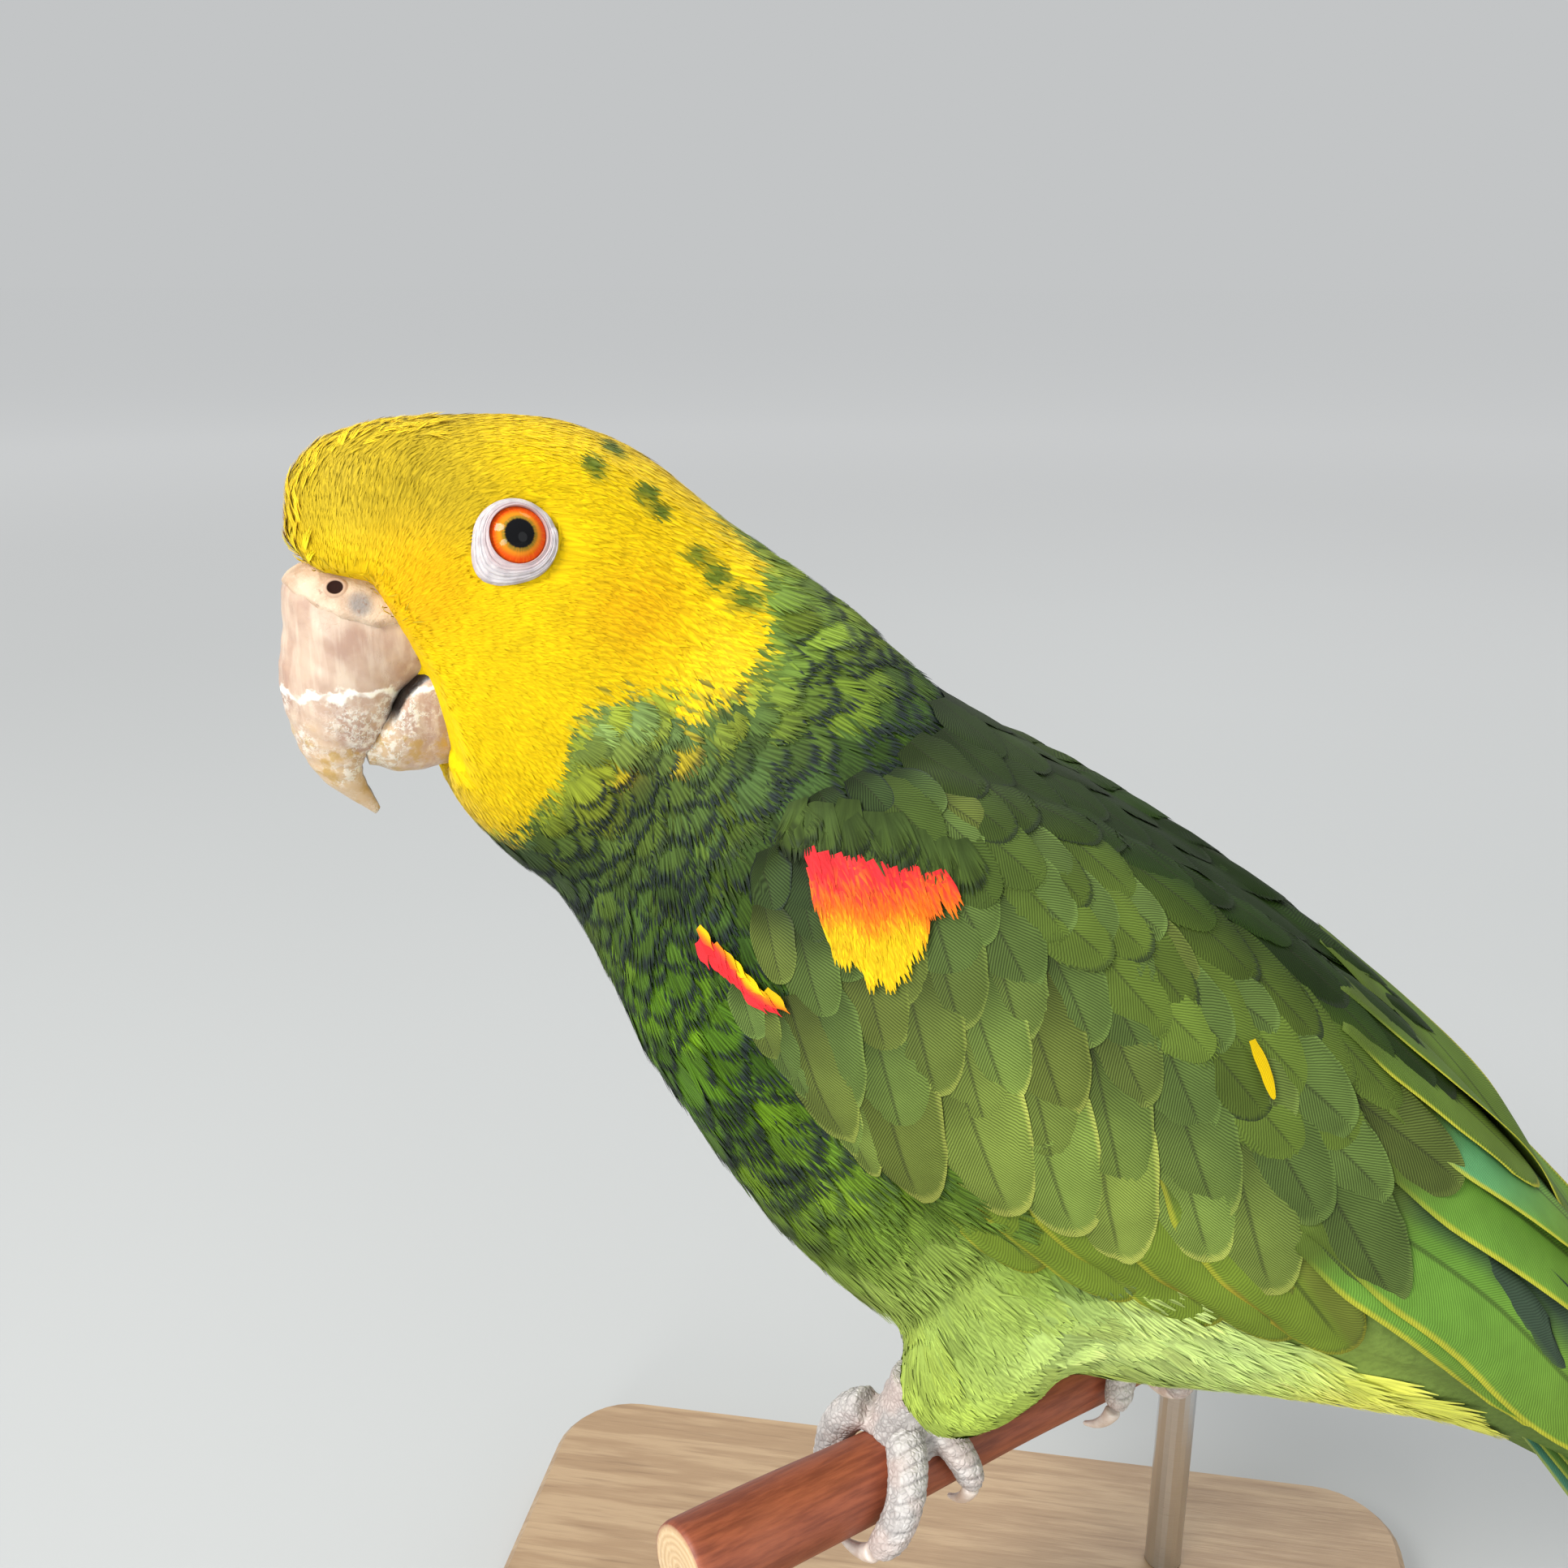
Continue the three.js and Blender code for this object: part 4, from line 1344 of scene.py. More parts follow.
def quill_piece(name, quills, finish):
    """Many stiff feathers in one piece, each with its own field of the bake map."""
    points = []
    faces = []
    shape = []
    size = []
    tint = []
    rim = []
    luck = []
    cells = []
    grid = math.ceil(math.sqrt(len(quills)))
    for i, (some, few, uv, length, width, colour, edge) in enumerate(quills):
        first = len(points)
        points += [world(p) for p in some]
        faces += [tuple(first + v for v in face) for face in few]
        shape += uv
        size += [(length * MM, width * MM, 0)] * len(some)
        tint += colour
        rim += edge
        luck += [float(dice.random())] * len(some)
        corner = (i % grid + 0.04, i // grid + 0.04)
        cells += [((corner[0] + 0.92 * a) / grid, (corner[1] + 0.92 * b) / grid) for a, b in uv]
    piece = mesh_piece(name, points, faces)
    for layer, field in (("Shape", shape), ("OFBake", cells)):
        uv = piece.data.uv_layers.new(name=layer)
        for loop in piece.data.loops:
            uv.data[loop.index].uv = field[loop.vertex_index]
    vector(piece, "size", size)
    number(piece, "luck", luck)
    paint(piece, "tint", np.array(tint))
    paint(piece, "rim", np.array(rim))
    piece.data.materials.append(finish)
    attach(piece, "root")
    return piece


FLIGHT_GREEN = (0.165, 0.240, 0.024)
FLIGHT_BROWN = (0.150, 0.160, 0.030)
FLIGHT_BRIGHT = (0.165, 0.350, 0.045)
FLIGHT_EDGE = (0.60, 0.58, 0.05)
FLIGHT_DARK = (0.022, 0.030, 0.045)
TEAL_EDGE = (0.12, 0.42, 0.20)
SPECULUM = (0.62, 0.05, 0.02)
LAST_PRIMARY = 4
TEAL_FEATHER = 8
BELLY_TILT = 0.09


# The last station where the flight feathers lie on the body. They run on straight behind it.
BODY_END = 80


def degree_of(skin, s, turn, side):
    """How many millimetres of skin lie under one degree of turn."""
    apart = 8
    here = skin.under(s, turn, side)
    there = skin.under(s, turn + apart, side)
    if here is None or there is None:
        return MM_PER_DEGREE * 0.7
    return max(0.3, float(np.linalg.norm(bird(here[0]) - bird(there[0]))) / apart)


def flight_feather(skin, side, i, row):
    """One flight feather, laid over the body from its root to its tip."""
    s0, t0, s1, t1, width, on_edge = row
    steps = 14
    stops = []
    outs = []
    for k in range(steps + 1):
        f = k / steps
        s = s0 + (s1 - s0) * f
        turn = t0 + (t1 - t0) * f
        if on_edge:
            turn += 0.5 * width / degree_of(skin, s, turn, side)
        found = skin.under(s, turn, side) if s < BODY_END else None
        if found is None:
            stops.append(stops[-1] * 2 - stops[-2])
            outs.append(outs[-1])
            continue
        at, picked, _ = found
        facing = skin.facing(np.array([picked]))[0]
        stops.append(bird(at) + facing * (0.5 + 0.17 * i + 0.35 * f))
        outs.append(facing)
    stops = np.array(stops)
    outs = np.array(outs)
    for _ in range(6):
        stops[1:-1] = stops[1:-1] * 0.5 + 0.25 * (stops[:-2] + stops[2:])
        outs[1:-1] = outs[1:-1] * 0.5 + 0.25 * (outs[:-2] + outs[2:])
    outs[-1] = outs[-2]

    def path(t):
        k = t * steps
        return np.array([np.interp(k, range(steps + 1), stops[:, c]) for c in range(3)])

    def outward(t):
        k = t * steps
        up = unit([np.interp(k, range(steps + 1), outs[:, c]) for c in range(3)])
        ahead = unit(path(min(1, t + 0.05)) - path(max(0, t - 0.05)))
        return unit(up - BELLY_TILT * side * np.cross(up, ahead))

    length = float(np.linalg.norm(np.diff(stops, axis=0), axis=1).sum())
    some, few, uv = quill(path, width, outward, 0.35, bow=0.62 * width / length)
    far = float(i > LAST_PRIMARY)
    colour = []
    edge = []
    for a, t in uv:
        lead = 1 - a if side < 0 else a
        brown = blend(FLIGHT_GREEN, FLIGHT_BROWN, float(ramp(0.52, 0.40, lead)) * 0.6 * (1 - far))
        inner = blend(brown, FLIGHT_BRIGHT, far * (0.55 + 0.45 * float(ramp(0.8, 0.3, t))))
        inner = blend(inner, FLIGHT_DARK, 0.85 * float(ramp(0.42, 0.22, lead)) * far)
        if i == TEAL_FEATHER:
            inner = blend(inner, TEAL_EDGE, 0.7 * float(ramp(0.60, 0.25, t)))
        if i > TEAL_FEATHER:
            inner = blend(inner, SCAPULAR_GREEN, 0.8)
        if i in (LAST_PRIMARY - 1, LAST_PRIMARY):
            red = 0.3 * float(ramp(0.93, 1.0, lead)) * float(ramp(0.6, 0.7, t))
            inner = blend(inner, SPECULUM, red)
        inner = blend(SCAPULAR_GREEN, inner, float(ramp(0.10, 0.24, t)))
        colour.append(inner)
        shown = 0.9 * float(ramp(0.35, 0.7, lead)) * float(ramp(0.1, 0.3, t)) if far else 0.5
        edge.append(blend(inner, FLIGHT_EDGE, shown))
    return some, few, uv, length, width, colour, edge


# ---------------------------------------------------------------- tail
TAIL_ROOT = 58.0
TAIL_LEVEL = 74.0
TAIL_WIDTH = 15.0
TAIL_PAIRS = 6
TAIL_GREEN = (0.10, 0.21, 0.04)
TAIL_TIP = (0.50, 0.50, 0.06)
TAIL_RED = (0.72, 0.13, 0.02)
TAIL_BLUE = (0.06, 0.22, 0.16)


def tail_feather(side, k):
    """One tail feather: the middle pair is on top, the outer ones fan out below."""
    fan = (k + 0.5) / TAIL_PAIRS
    reach = 135 - 17 * fan ** 1.7
    y0 = side * (1.0 + 8.5 * fan)
    y1 = side * (2.0 + 18.5 * fan)
    level = TAIL_LEVEL + 2.6 - 0.62 * k

    def path(t):
        s = TAIL_ROOT + (reach - TAIL_ROOT) * t
        y = y0 + (y1 - y0) * t ** 0.9
        n = level - 0.010 * y * y - 2.4 * t
        return to_tail * s + to_back * n + np.array([0.0, y, 0.0])

    def outward(t):
        y = y0 + (y1 - y0) * t
        return unit(to_back + np.array([0, 0.022 * y, 0]) + np.array([0, side * 0.05, 0]))

    some, few, uv = quill(path, TAIL_WIDTH, outward, 0.45, rows=24, columns=8, bow=0.1)
    colour = []
    edge = []
    for a, t in uv:
        out_side = 1 - a if side < 0 else a
        base = blend(TAIL_GREEN, TAIL_TIP, float(ramp(0.74, 0.88, t)))
        if k >= 2:
            red = 0.9 * float(ramp(0.72, 0.5, t)) * float(ramp(0.62, 0.42, out_side))
            base = blend(base, TAIL_RED, red)
        if k == TAIL_PAIRS - 1:
            blue = 0.8 * float(ramp(0.66, 0.8, out_side)) * float(ramp(0.9, 0.7, t))
            base = blend(base, TAIL_BLUE, blue)
        colour.append(base)
        edge.append(blend(base, TAIL_TIP, 0.5))
    return some, few, uv, reach - TAIL_ROOT, TAIL_WIDTH, colour, edge


# ---------------------------------------------------------------- plumage finishes
# How far barbs lean along the shaft for each 1 across it.
BARB_LEAN = 1.12


def plumage(name, pitch=0.5, barb=0.2, shaft=0.25, rims=(0.80, 0.97, 0.86, 0.98),
            shadow=0.35, split=0.0, wisp=0.2, fan=False, cool=0.0, soft=0.0, bow=0.3):
    """Feather vanes: barbs aslant or fanned, a shaft, a rim of its own colour, a root darker with
    grey down and painted shade.
    """
    finish = Finish(name, Roughness=0.62, Specular_IOR_Level=0.12)
    across, along, _ = finish.node("ShaderNodeUVMap", {"uv_map": "Shape"}).parts()
    length, width, _ = finish.field("size", "Vector").parts()
    luck = finish.field("luck", "Fac")
    off = abs(across * 2 - 1)
    if fan:
        slant = across * width * 1000
        strength = along.step(0.2, 0.85) * 0.7 + 0.3
    else:
        slant = along * length * (1000 - off * off * (1000 * bow))
        slant = slant - off * width * (500 * BARB_LEAN)
        strength = 1.0
    wander = finish.noise(0.006, 2.0)
    ridges = (slant * (2 * math.pi / pitch) + wander * 4.0 + luck * 6.0).wave()
    barbule = finish.node("ShaderNodeTexNoise", {"noise_dimensions": "1D"}, {
        "W": slant * (0.8 / pitch) + luck * 50, "Scale": 1.0, "Detail": 1.0})
    fringe = (barbule - 0.5) * wisp
    side_rim = (off + fringe).step(rims[0], rims[1])
    tip_rim = (along + fringe).step(rims[2], rims[3])
    if fan:
        tip_rim = tip_rim * (1 - along.step(0.95, 1.0) * 0.4)
    rim = side_rim.sum("MAXIMUM", side_rim, tip_rim)
    mottle = finish.noise(0.007, 3.0).step(0.3, 0.75) * 0.2 + 0.88
    # The root is darker by the shadow share: partly its greyer down, partly painted shade where the
    # feather over it covers it.
    shade = (1 - ridges * strength * barb) * mottle * (along.step(0.0, 0.6) * shadow + (1 - shadow))
    if split:
        leading = across.step(0.44, 0.56)
        shade = shade * (leading * split + (1 - split))
    colour = finish.mix(rim, finish.field("tint"), finish.field("rim"))
    if cool:
        cooler = finish.mix(1.0, colour, (0.95, 1.0, 1.6), "MULTIPLY")
        colour = finish.mix((1 - along.step(0.3, 0.75)) * cool, colour, cooler)
    colour = finish.mix(1.0, colour, finish.grey(shade), "MULTIPLY")
    line = (1 - off.step(0.015, 0.06)) * (1 - along.step(0.8, 0.95)) * shaft
    colour = finish.mix(line, colour, (0.02, 0.022, 0.01))
    height = ridges * strength * 0.6 + (1 - off.step(0.0, 0.14)) * 0.6
    return finish.feed(Base_Color=colour, Normal=finish.bump(height, 0.00012, 0.5, soft))


def tuft_finish(name, soft):
    """Fine silky feathers: fibres along their length, with clearer lines on the longer ones."""
    finish = Finish(name, Roughness=0.6, Sheen_Weight=0.05, Sheen_Roughness=0.4,
                    Specular_IOR_Level=0.12)
    across, along, _ = finish.node("ShaderNodeUVMap", {"uv_map": "Shape"}).parts()
    length, _, _ = finish.field("size", "Vector").parts()
    luck = finish.field("luck", "Fac")
    fibre = (across * 45 + luck * 30).wave()
    lines = length.step(0.0035, 0.0075) * 0.24 + 0.10
    mottle = finish.noise(0.006, 3.0).step(0.3, 0.75) * 0.08 + 0.94
    # The roots are a little darker: painted shade under the tufts that lie over them.
    shade = (1 - fibre * lines) * mottle * (along.step(0.0, 0.6) * 0.06 + 0.95)
    colour = finish.mix(along.step(0.55, 1.0), finish.field("tint"), finish.field("rim"))
    colour = finish.mix(1.0, colour, finish.grey(shade), "MULTIPLY")
    return finish.feed(Base_Color=colour, Normal=finish.bump(fibre, 0.0001, 0.25, soft))


def skin_finish():
    """Down-covered skin under the feathers, in the feathers' own markings."""
    finish = Finish("skin under feathers", Roughness=0.85, Specular_IOR_Level=0.15)
    fuzz = finish.noise(0.0012, 4.0)
    dark = finish.mix(1.0, finish.field("tint"), (0.8, 0.8, 0.8), "MULTIPLY")
    tint = finish.mix(fuzz.step(0.3, 0.8), finish.field("tint"), dark)
    return finish.feed(Base_Color=tint, Normal=finish.bump(fuzz, 0.0004, 0.6))


# ---------------------------------------------------------------- smooth curves and lofts
def curve(rows, keys):
    """A smooth curve through rows of key and values, read at many keys."""
    rows = np.array(rows, dtype=float)
    known = rows[:, 0]
    slopes = np.gradient(rows[:, 1:], known, axis=0)
    keys = np.clip(keys, known[0], known[-1])
    i = np.clip(np.searchsorted(known, keys, side="right") - 1, 0, len(known) - 2)
    span = (known[i + 1] - known[i])[:, None]
    f = (keys - known[i])[:, None] / span
    a, b = rows[i, 1:], rows[i + 1, 1:]
    ma, mb = slopes[i] * span, slopes[i + 1] * span
    return ((2 * f ** 3 - 3 * f ** 2 + 1) * a + (f ** 3 - 2 * f ** 2 + f) * ma
            + (3 * f ** 2 - 2 * f ** 3) * b + (f ** 3 - f ** 2) * mb)


def loft(rings):
    """Faces of a closed skin over rings of equal count, its two ends closed with fans."""
    count = len(rings)
    around = len(rings[0])
    points = [p for ring in rings for p in ring]
    faces = grid_faces(count - 1, around, closed=True)
    for r in (0, count - 1):
        hub = len(points)
        points.append(np.mean(rings[r], axis=0))
        for n in range(around):
            a = r * around + n
            b = r * around + (n + 1) % around
            faces.append((hub, b, a) if r == 0 else (hub, a, b))
    return np.array(points), faces


def outward_faces(piece):
    """Turns every face of a closed mesh outwards."""
    bm = bmesh.new()
    bm.from_mesh(piece.data)
    bmesh.ops.recalc_face_normals(bm, faces=bm.faces)
    bm.to_mesh(piece.data)
    bm.free()
    piece.data.polygons.foreach_set("use_smooth", [True] * len(piece.data.polygons))
    return piece


# Upper and lower bill: station, then ridge and cutting edge (back, up), then half width.
BILL = (
    (0, -21, 6.5, -13, -12.5, 11.2),
    (1, -37.6, 2.5, -21.6, -17.6, 10.8),
    (2, -40, -7, -24.4, -22.4, 9.4),
    (3, -41.2, -16, -26.4, -26.4, 8),
    (4, -39.6, -25.5, -28.5, -29, 6.2),
    (5, -36, -33, -29.2, -32.5, 4.2),
    (6, -27.8, -40.2, -26.9, -39, 0.8),
)
JAW = (
    (0, -9, -31.0, -12.5, -9.5, 11.0),
    (1, -15.5, -32.4, -20.6, -14.2, 10.4),
    (2, -22.5, -32.8, -25.2, -21.4, 8.4),
    (3, -28.2, -31.0, -29.0, -27.4, 5.0),
)


def horn(name, rows, first, last, rings, around, relief, finish, lip, widest=0.6):
    """A curved horn over its stations. Relief raises it in millimetres by station and turn."""
    keys = np.linspace(first, last, rings)
    made = curve(rows, keys)
    loops = []
    along = []
    about = []
    high = []
    for key, (lx, lz, hx, hz, half) in zip(keys, made):
        ridge, edge = from_head(lx, 0, lz), from_head(hx, 0, hz)
        height = np.linalg.norm(edge - ridge)
        up = (edge - ridge) / height
        level = widest * height
        ring = []
        for n in range(around):
            turn = 2 * math.pi * n / around
            reach = level if math.cos(turn) > 0 else height - level
            h = level - reach * math.cos(turn)
            boxy = 1.0 if math.cos(turn) > 0 else 0.55
            y = half * math.copysign(abs(math.sin(turn)) ** boxy, math.sin(turn))
            place = ridge + up * h + head_left * y
            away = unit(place - (ridge + up * level))
            near = abs(math.sin(turn / 2))
            ring.append(place + away * relief(key, near, place))
            along.append(key / (len(rows) - 1))
            about.append(near)
            high.append(float((place - head_middle) @ head_up))
        loops.append(ring)
    points, faces = loft(loops)
    piece = outward_faces(mesh_piece(name, world(points), faces))
    number(piece, "along", along + [first / (len(rows) - 1), last / (len(rows) - 1)])
    number(piece, "high", high + [high[0], high[-1]])
    # The band along the cutting edge is painted near-black: painted shadow of the slit between the
    # two horns.
    number(piece, "lip", [float(ramp(lip, lip + 0.05, a)) for a in about] + [1.0, 0.0])
    piece.data.materials.append(finish)
    return piece


# The lower edge of the bare cere on the horn: back, and up.
CERE_EDGE = ((-41.0, 1.2), (-38.4, -0.2), (-31.6, -4.1), (-26.0, -5.6), (-20.0, -5.0))


def over_cere_edge(place):
    """How far above the lower edge of the cere, in millimetres."""
    back, _, up = on_head(place)
    return up - float(np.interp(back, *zip(*CERE_EDGE)))


def bill_relief(key, about, place):
    """Growth ridges, flaking layers and a worn cutting edge."""
    ridges = 0.07 * math.sin(key * 15 + 1.6 * float(ripple(place, 5, 1)))
    flakes = 0.16 * float(ramp(0.05, 0.30, ripple(place, 3.4, 6))) * float(ramp(1.2, 2.6, key))
    worn = -0.3 * float(ramp(0.93, 1.0, about)) * (0.5 + 0.5 * float(ripple(place, 2.0, 3)))
    return (ridges + flakes + worn) * float(ramp(6.0, 5.0, key))


def cere_relief(key, about, place):
    """Soft swellings over the nostrils and fine wrinkles."""
    swell = 0.7 * math.exp(-((about - 0.5) / 0.25) ** 2 - ((key - 0.55) / 0.35) ** 2)
    shown = float(ramp(-0.5, 0.6, over_cere_edge(place) + 0.4 * float(ripple(place, 1.4, 8))))
    return -1.2 + (1.6 + swell + 0.10 * float(ripple(place, 1.6, 2))) * shown


def jaw_relief(key, about, place):
    """Low ridges across the lower bill."""
    ridges = 0.10 * math.sin(key * 9 + 2 * float(ripple(place, 4, 2)))
    return ridges + 0.12 * float(ripple(place, 2.4, 5))


def bill_finish():
    """Warm horn, smooth above, with one pale flaking line and a yellow, scaly lower part."""
    finish = Finish("bill horn", Roughness=0.38, Coat_Weight=0.1, Coat_Roughness=0.3,
                    Subsurface_Weight=0.12, Subsurface_Radius=(0.004, 0.002, 0.001),
                    Subsurface_Scale=0.6)
    along = finish.field("along", "Fac")
    high = finish.field("high", "Fac")
    cloud = finish.noise(0.007, 4.0)
    fine = finish.noise(0.0012, 5.0, 0.6)
    streaks = finish.noise(0.0016, 3.0, stretch=(1, 1, 0.12))
    base = finish.mix(cloud.step(0.35, 0.7), (0.43, 0.27, 0.20), (0.60, 0.44, 0.33))
    base = finish.mix(streaks.step(0.45, 0.7) * 0.4, base, (0.78, 0.66, 0.52))
    base = finish.mix((along + cloud * 0.2).step(0.62, 0.9), base, (0.62, 0.44, 0.26))
    wander = finish.noise(0.005, 4.0, 0.6)
    level = high + wander * 8.0
    line = (1 - abs(level + 12.8).step(0.3, 1.2)) * finish.noise(0.004, 2.0).step(0.25, 0.4)
    flakes = finish.noise(0.0030, 5.0, 0.65)
    lower = (0 - high).step(14.5, 19.0)
    patches = finish.noise(0.008, 2.0).step(0.46, 0.60)
    layer = (1 - abs(flakes - 0.5).step(0.002, 0.030)) * (patches * 0.7 + 0.12)
    rough = patches * lower
    white = line.sum("MAXIMUM", line, layer * lower)
    white = white.sum("MAXIMUM", white, rough * fine.step(0.45, 0.6) * 0.6)
    base = finish.mix(white * 0.95, base, (0.96, 0.93, 0.84))
    stain = finish.noise(0.0035, 4.0, 0.6).step(0.50, 0.62) * (0 - high).step(21.0, 26.0)
    base = finish.mix(stain * 0.75, base, (0.50, 0.30, 0.06))
    # Painted shadow of the slit between the horns, standing in for the dark mouth seen through it:
    # near-black along their cutting edges and where the lower bill lies close under the upper.
    edge = finish.field("lip", "Fac")
    edge = edge.sum("MAXIMUM", edge * 0.9, finish.field("gap", "Fac"))
    base = finish.mix(edge, base, (0.020, 0.012, 0.010))
    height = white * 0.6 + fine * 0.15 + streaks * 0.1 + layer * 0.2
    dull = cloud * 0.2 + 0.28
    return finish.feed(Base_Color=base, Roughness=dull, Normal=finish.bump(height, 0.0002, 0.7))


def cere_finish():
    """Bare flesh over the bill's root, with small pits, flakes and one grey smudge."""
    finish = Finish("cere flesh", Roughness=0.55, Subsurface_Weight=0.12,
                    Subsurface_Radius=(0.004, 0.0015, 0.001), Subsurface_Scale=0.6)
    cloud = finish.noise(0.0035, 4.0)
    fine = finish.noise(0.0007, 5.0, 0.65)
    base = finish.mix(cloud.step(0.3, 0.7), (0.50, 0.33, 0.22), (0.72, 0.55, 0.40))
    base = finish.mix(fine.step(0.55, 0.75) * 0.5, base, (0.84, 0.74, 0.60))
    grey = finish.field("smudge", "Fac") * (cloud * 0.6 + 0.55)
    base = finish.mix(grey * 0.85, base, (0.17, 0.18, 0.20))
    pits = finish.noise(0.0011, 2.0).step(0.68, 0.75)
    base = finish.mix(pits * 0.5, base, (0.25, 0.13, 0.08))
    height = fine * 0.8 + cloud * 0.5
    return finish.feed(Base_Color=base, Normal=finish.bump(height, 0.0004, 0.8))


SMUDGE = (-28.6, -1.6)

# The rings of a nostril: reach, lift, and how far out of the painted shadow of its opening.
NOSTRIL = (
    (0.6, 0.03, 0.0), (1.0, 0.04, 0.05), (1.25, 0.20, 0.8), (1.5, 0.14, 1.0), (1.8, -0.15, 1.0),
)
NOSTRIL_AT = (-32.0, 0.9)


def nostrils(cere):
    """A raised round rim on each side of the cere, its opening painted near-black as painted
    shadow.
    """
    tree = tree_of(cere)
    points = []
    faces = []
    depth = []
    around = 28
    for side in (1, -1):
        start = from_head(NOSTRIL_AT[0], 30 * side, NOSTRIL_AT[1])
        hit = first_hit(tree, start, -head_left * side, 50)
        middle = bird(np.array(hit[0]))
        up = unit(np.array(hit[1]))
        across = unit(np.cross(up, head_up))
        tall = np.cross(across, up)
        first = len(points)
        points.append(middle + up * 0.02)
        depth.append(0.0)
        for reach, lift, out in NOSTRIL:
            for n in range(around):
                a = 2 * math.pi * n / around
                flat = across * 1.15 * math.cos(a) + tall * math.sin(a)
                points.append(middle + flat * reach + up * lift)
                depth.append(out)
        faces += [
            (first, first + 1 + n, first + 1 + (n + 1) % around) for n in range(around)]
        faces += grid_faces(len(NOSTRIL) - 1, around, closed=True, first=first + 1)
    piece = outward_faces(mesh_piece("nostrils", world(points), faces))
    number(piece, "depth", depth)
    finish = Finish("nostril rim", Roughness=0.7, Specular_IOR_Level=0.1)
    fine = finish.noise(0.001, 3.0)
    flesh = finish.mix(fine, (0.42, 0.25, 0.17), (0.62, 0.45, 0.33))
    # The middle is painted near-black: painted shadow of the nostril's opening, which is no hole in
    # the mesh.
    out = finish.field("depth", "Fac").step(0.2, 0.8)
    colour = finish.mix(out, (0.020, 0.006, 0.004), flesh)
    finish.feed(Base_Color=colour, Normal=finish.bump(fine, 0.0002, 0.5))
    piece.data.materials.append(finish.material)
    return piece


# ---------------------------------------------------------------- eyes
PUPIL_RADIUS = 2.35


def facing_out(piece, out, seen=0):
    """Turns an open mesh over if the face that is named looks inwards."""
    if np.array(piece.data.polygons[seen].normal) @ out < 0:
        piece.data.flip_normals()
    return piece


def eye_height(r):
    """How far the eye stands out at a radius: its ball, its cornea and its edge under the lid."""
    ball = math.sqrt(max(0.0, EYE_RADIUS ** 2 - r * r))
    tucked = 2.0 * float(ramp(LID_RADIUS + 0.1, LID_RADIUS + 0.35, r))
    return ball + 0.35 * float(ramp(LID_RADIUS, 0, r)) - tucked


def eyeball(word):
    """A glossy eye: black pupil, streaked orange-red iris, a dark rim under the lid."""
    out = LOOK[word]
    around = 64
    radii = [*np.linspace(0.35, LID_RADIUS + 0.1, 18), LID_RADIUS + 0.25, LID_RADIUS + 0.35]
    points = [GAZE[word] + out * eye_height(0.0)]
    reach = [0.0]
    spoke = [(1, 0, 0)]
    for r in radii:
        for n in range(around):
            a = 2 * math.pi * n / around
            flat = head_back * math.cos(a) + LID_UP[word] * math.sin(a)
            points.append(GAZE[word] + flat * r + out * eye_height(r))
            reach.append(r)
            spoke.append((math.cos(a), math.sin(a), 0))
    faces = [(0, 1 + n, 1 + (n + 1) % around) for n in range(around)]
    faces += grid_faces(len(radii) - 1, around, closed=True, first=1)
    piece = outward_faces(mesh_piece(f"eyeball_{word}", world(points), faces))
    facing_out(piece, out)
    number(piece, "reach", reach)
    vector(piece, "spoke", spoke)
    finish = Finish(f"eye {word}", Roughness=0.4, Coat_Weight=0.35, Coat_Roughness=0.02,
                    Specular_IOR_Level=0.0)
    far = finish.field("reach", "Fac")
    layer = finish.node("ShaderNodeCombineXYZ", (), {2: far * 0.35})
    streak_at = finish.node("ShaderNodeVectorMath", {"operation": "MULTIPLY_ADD"},
                            {0: finish.field("spoke", "Vector"), 1: (9, 9, 9), 2: layer})
    streak = finish.node(
        "ShaderNodeTexNoise", (), {"Vector": streak_at, "Scale": 1.6, "Detail": 4.0})
    iris = finish.mix(far.step(2.6, 3.2), (0.26, 0.17, 0.015), (0.78, 0.24, 0.008))
    iris = finish.mix(far.step(3.1, 4.0), iris, (0.82, 0.085, 0.006))
    iris = finish.mix(streak.step(0.45, 0.75) * 0.5, iris, (0.90, 0.26, 0.01))
    iris = finish.mix(far.step(4.3, 4.7) * 0.7, iris, (0.26, 0.03, 0.01))
    edge = far + streak * 0.3
    colour = finish.mix(edge.step(PUPIL_RADIUS, PUPIL_RADIUS + 0.35), (0.004, 0.004, 0.005), iris)
    piece.data.materials.append(finish.feed(Base_Color=colour))
    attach(piece, "root")
    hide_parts(f"eye_{word}")


def ring_reach(a):
    """How far the bare ring reaches round the eye: least above, most below in front."""
    point = max(0.0, math.cos(a - math.radians(226))) ** 8
    return 6.7 + 0.3 * math.cos(a - math.pi) - 0.7 * math.sin(a) + 1.7 * point


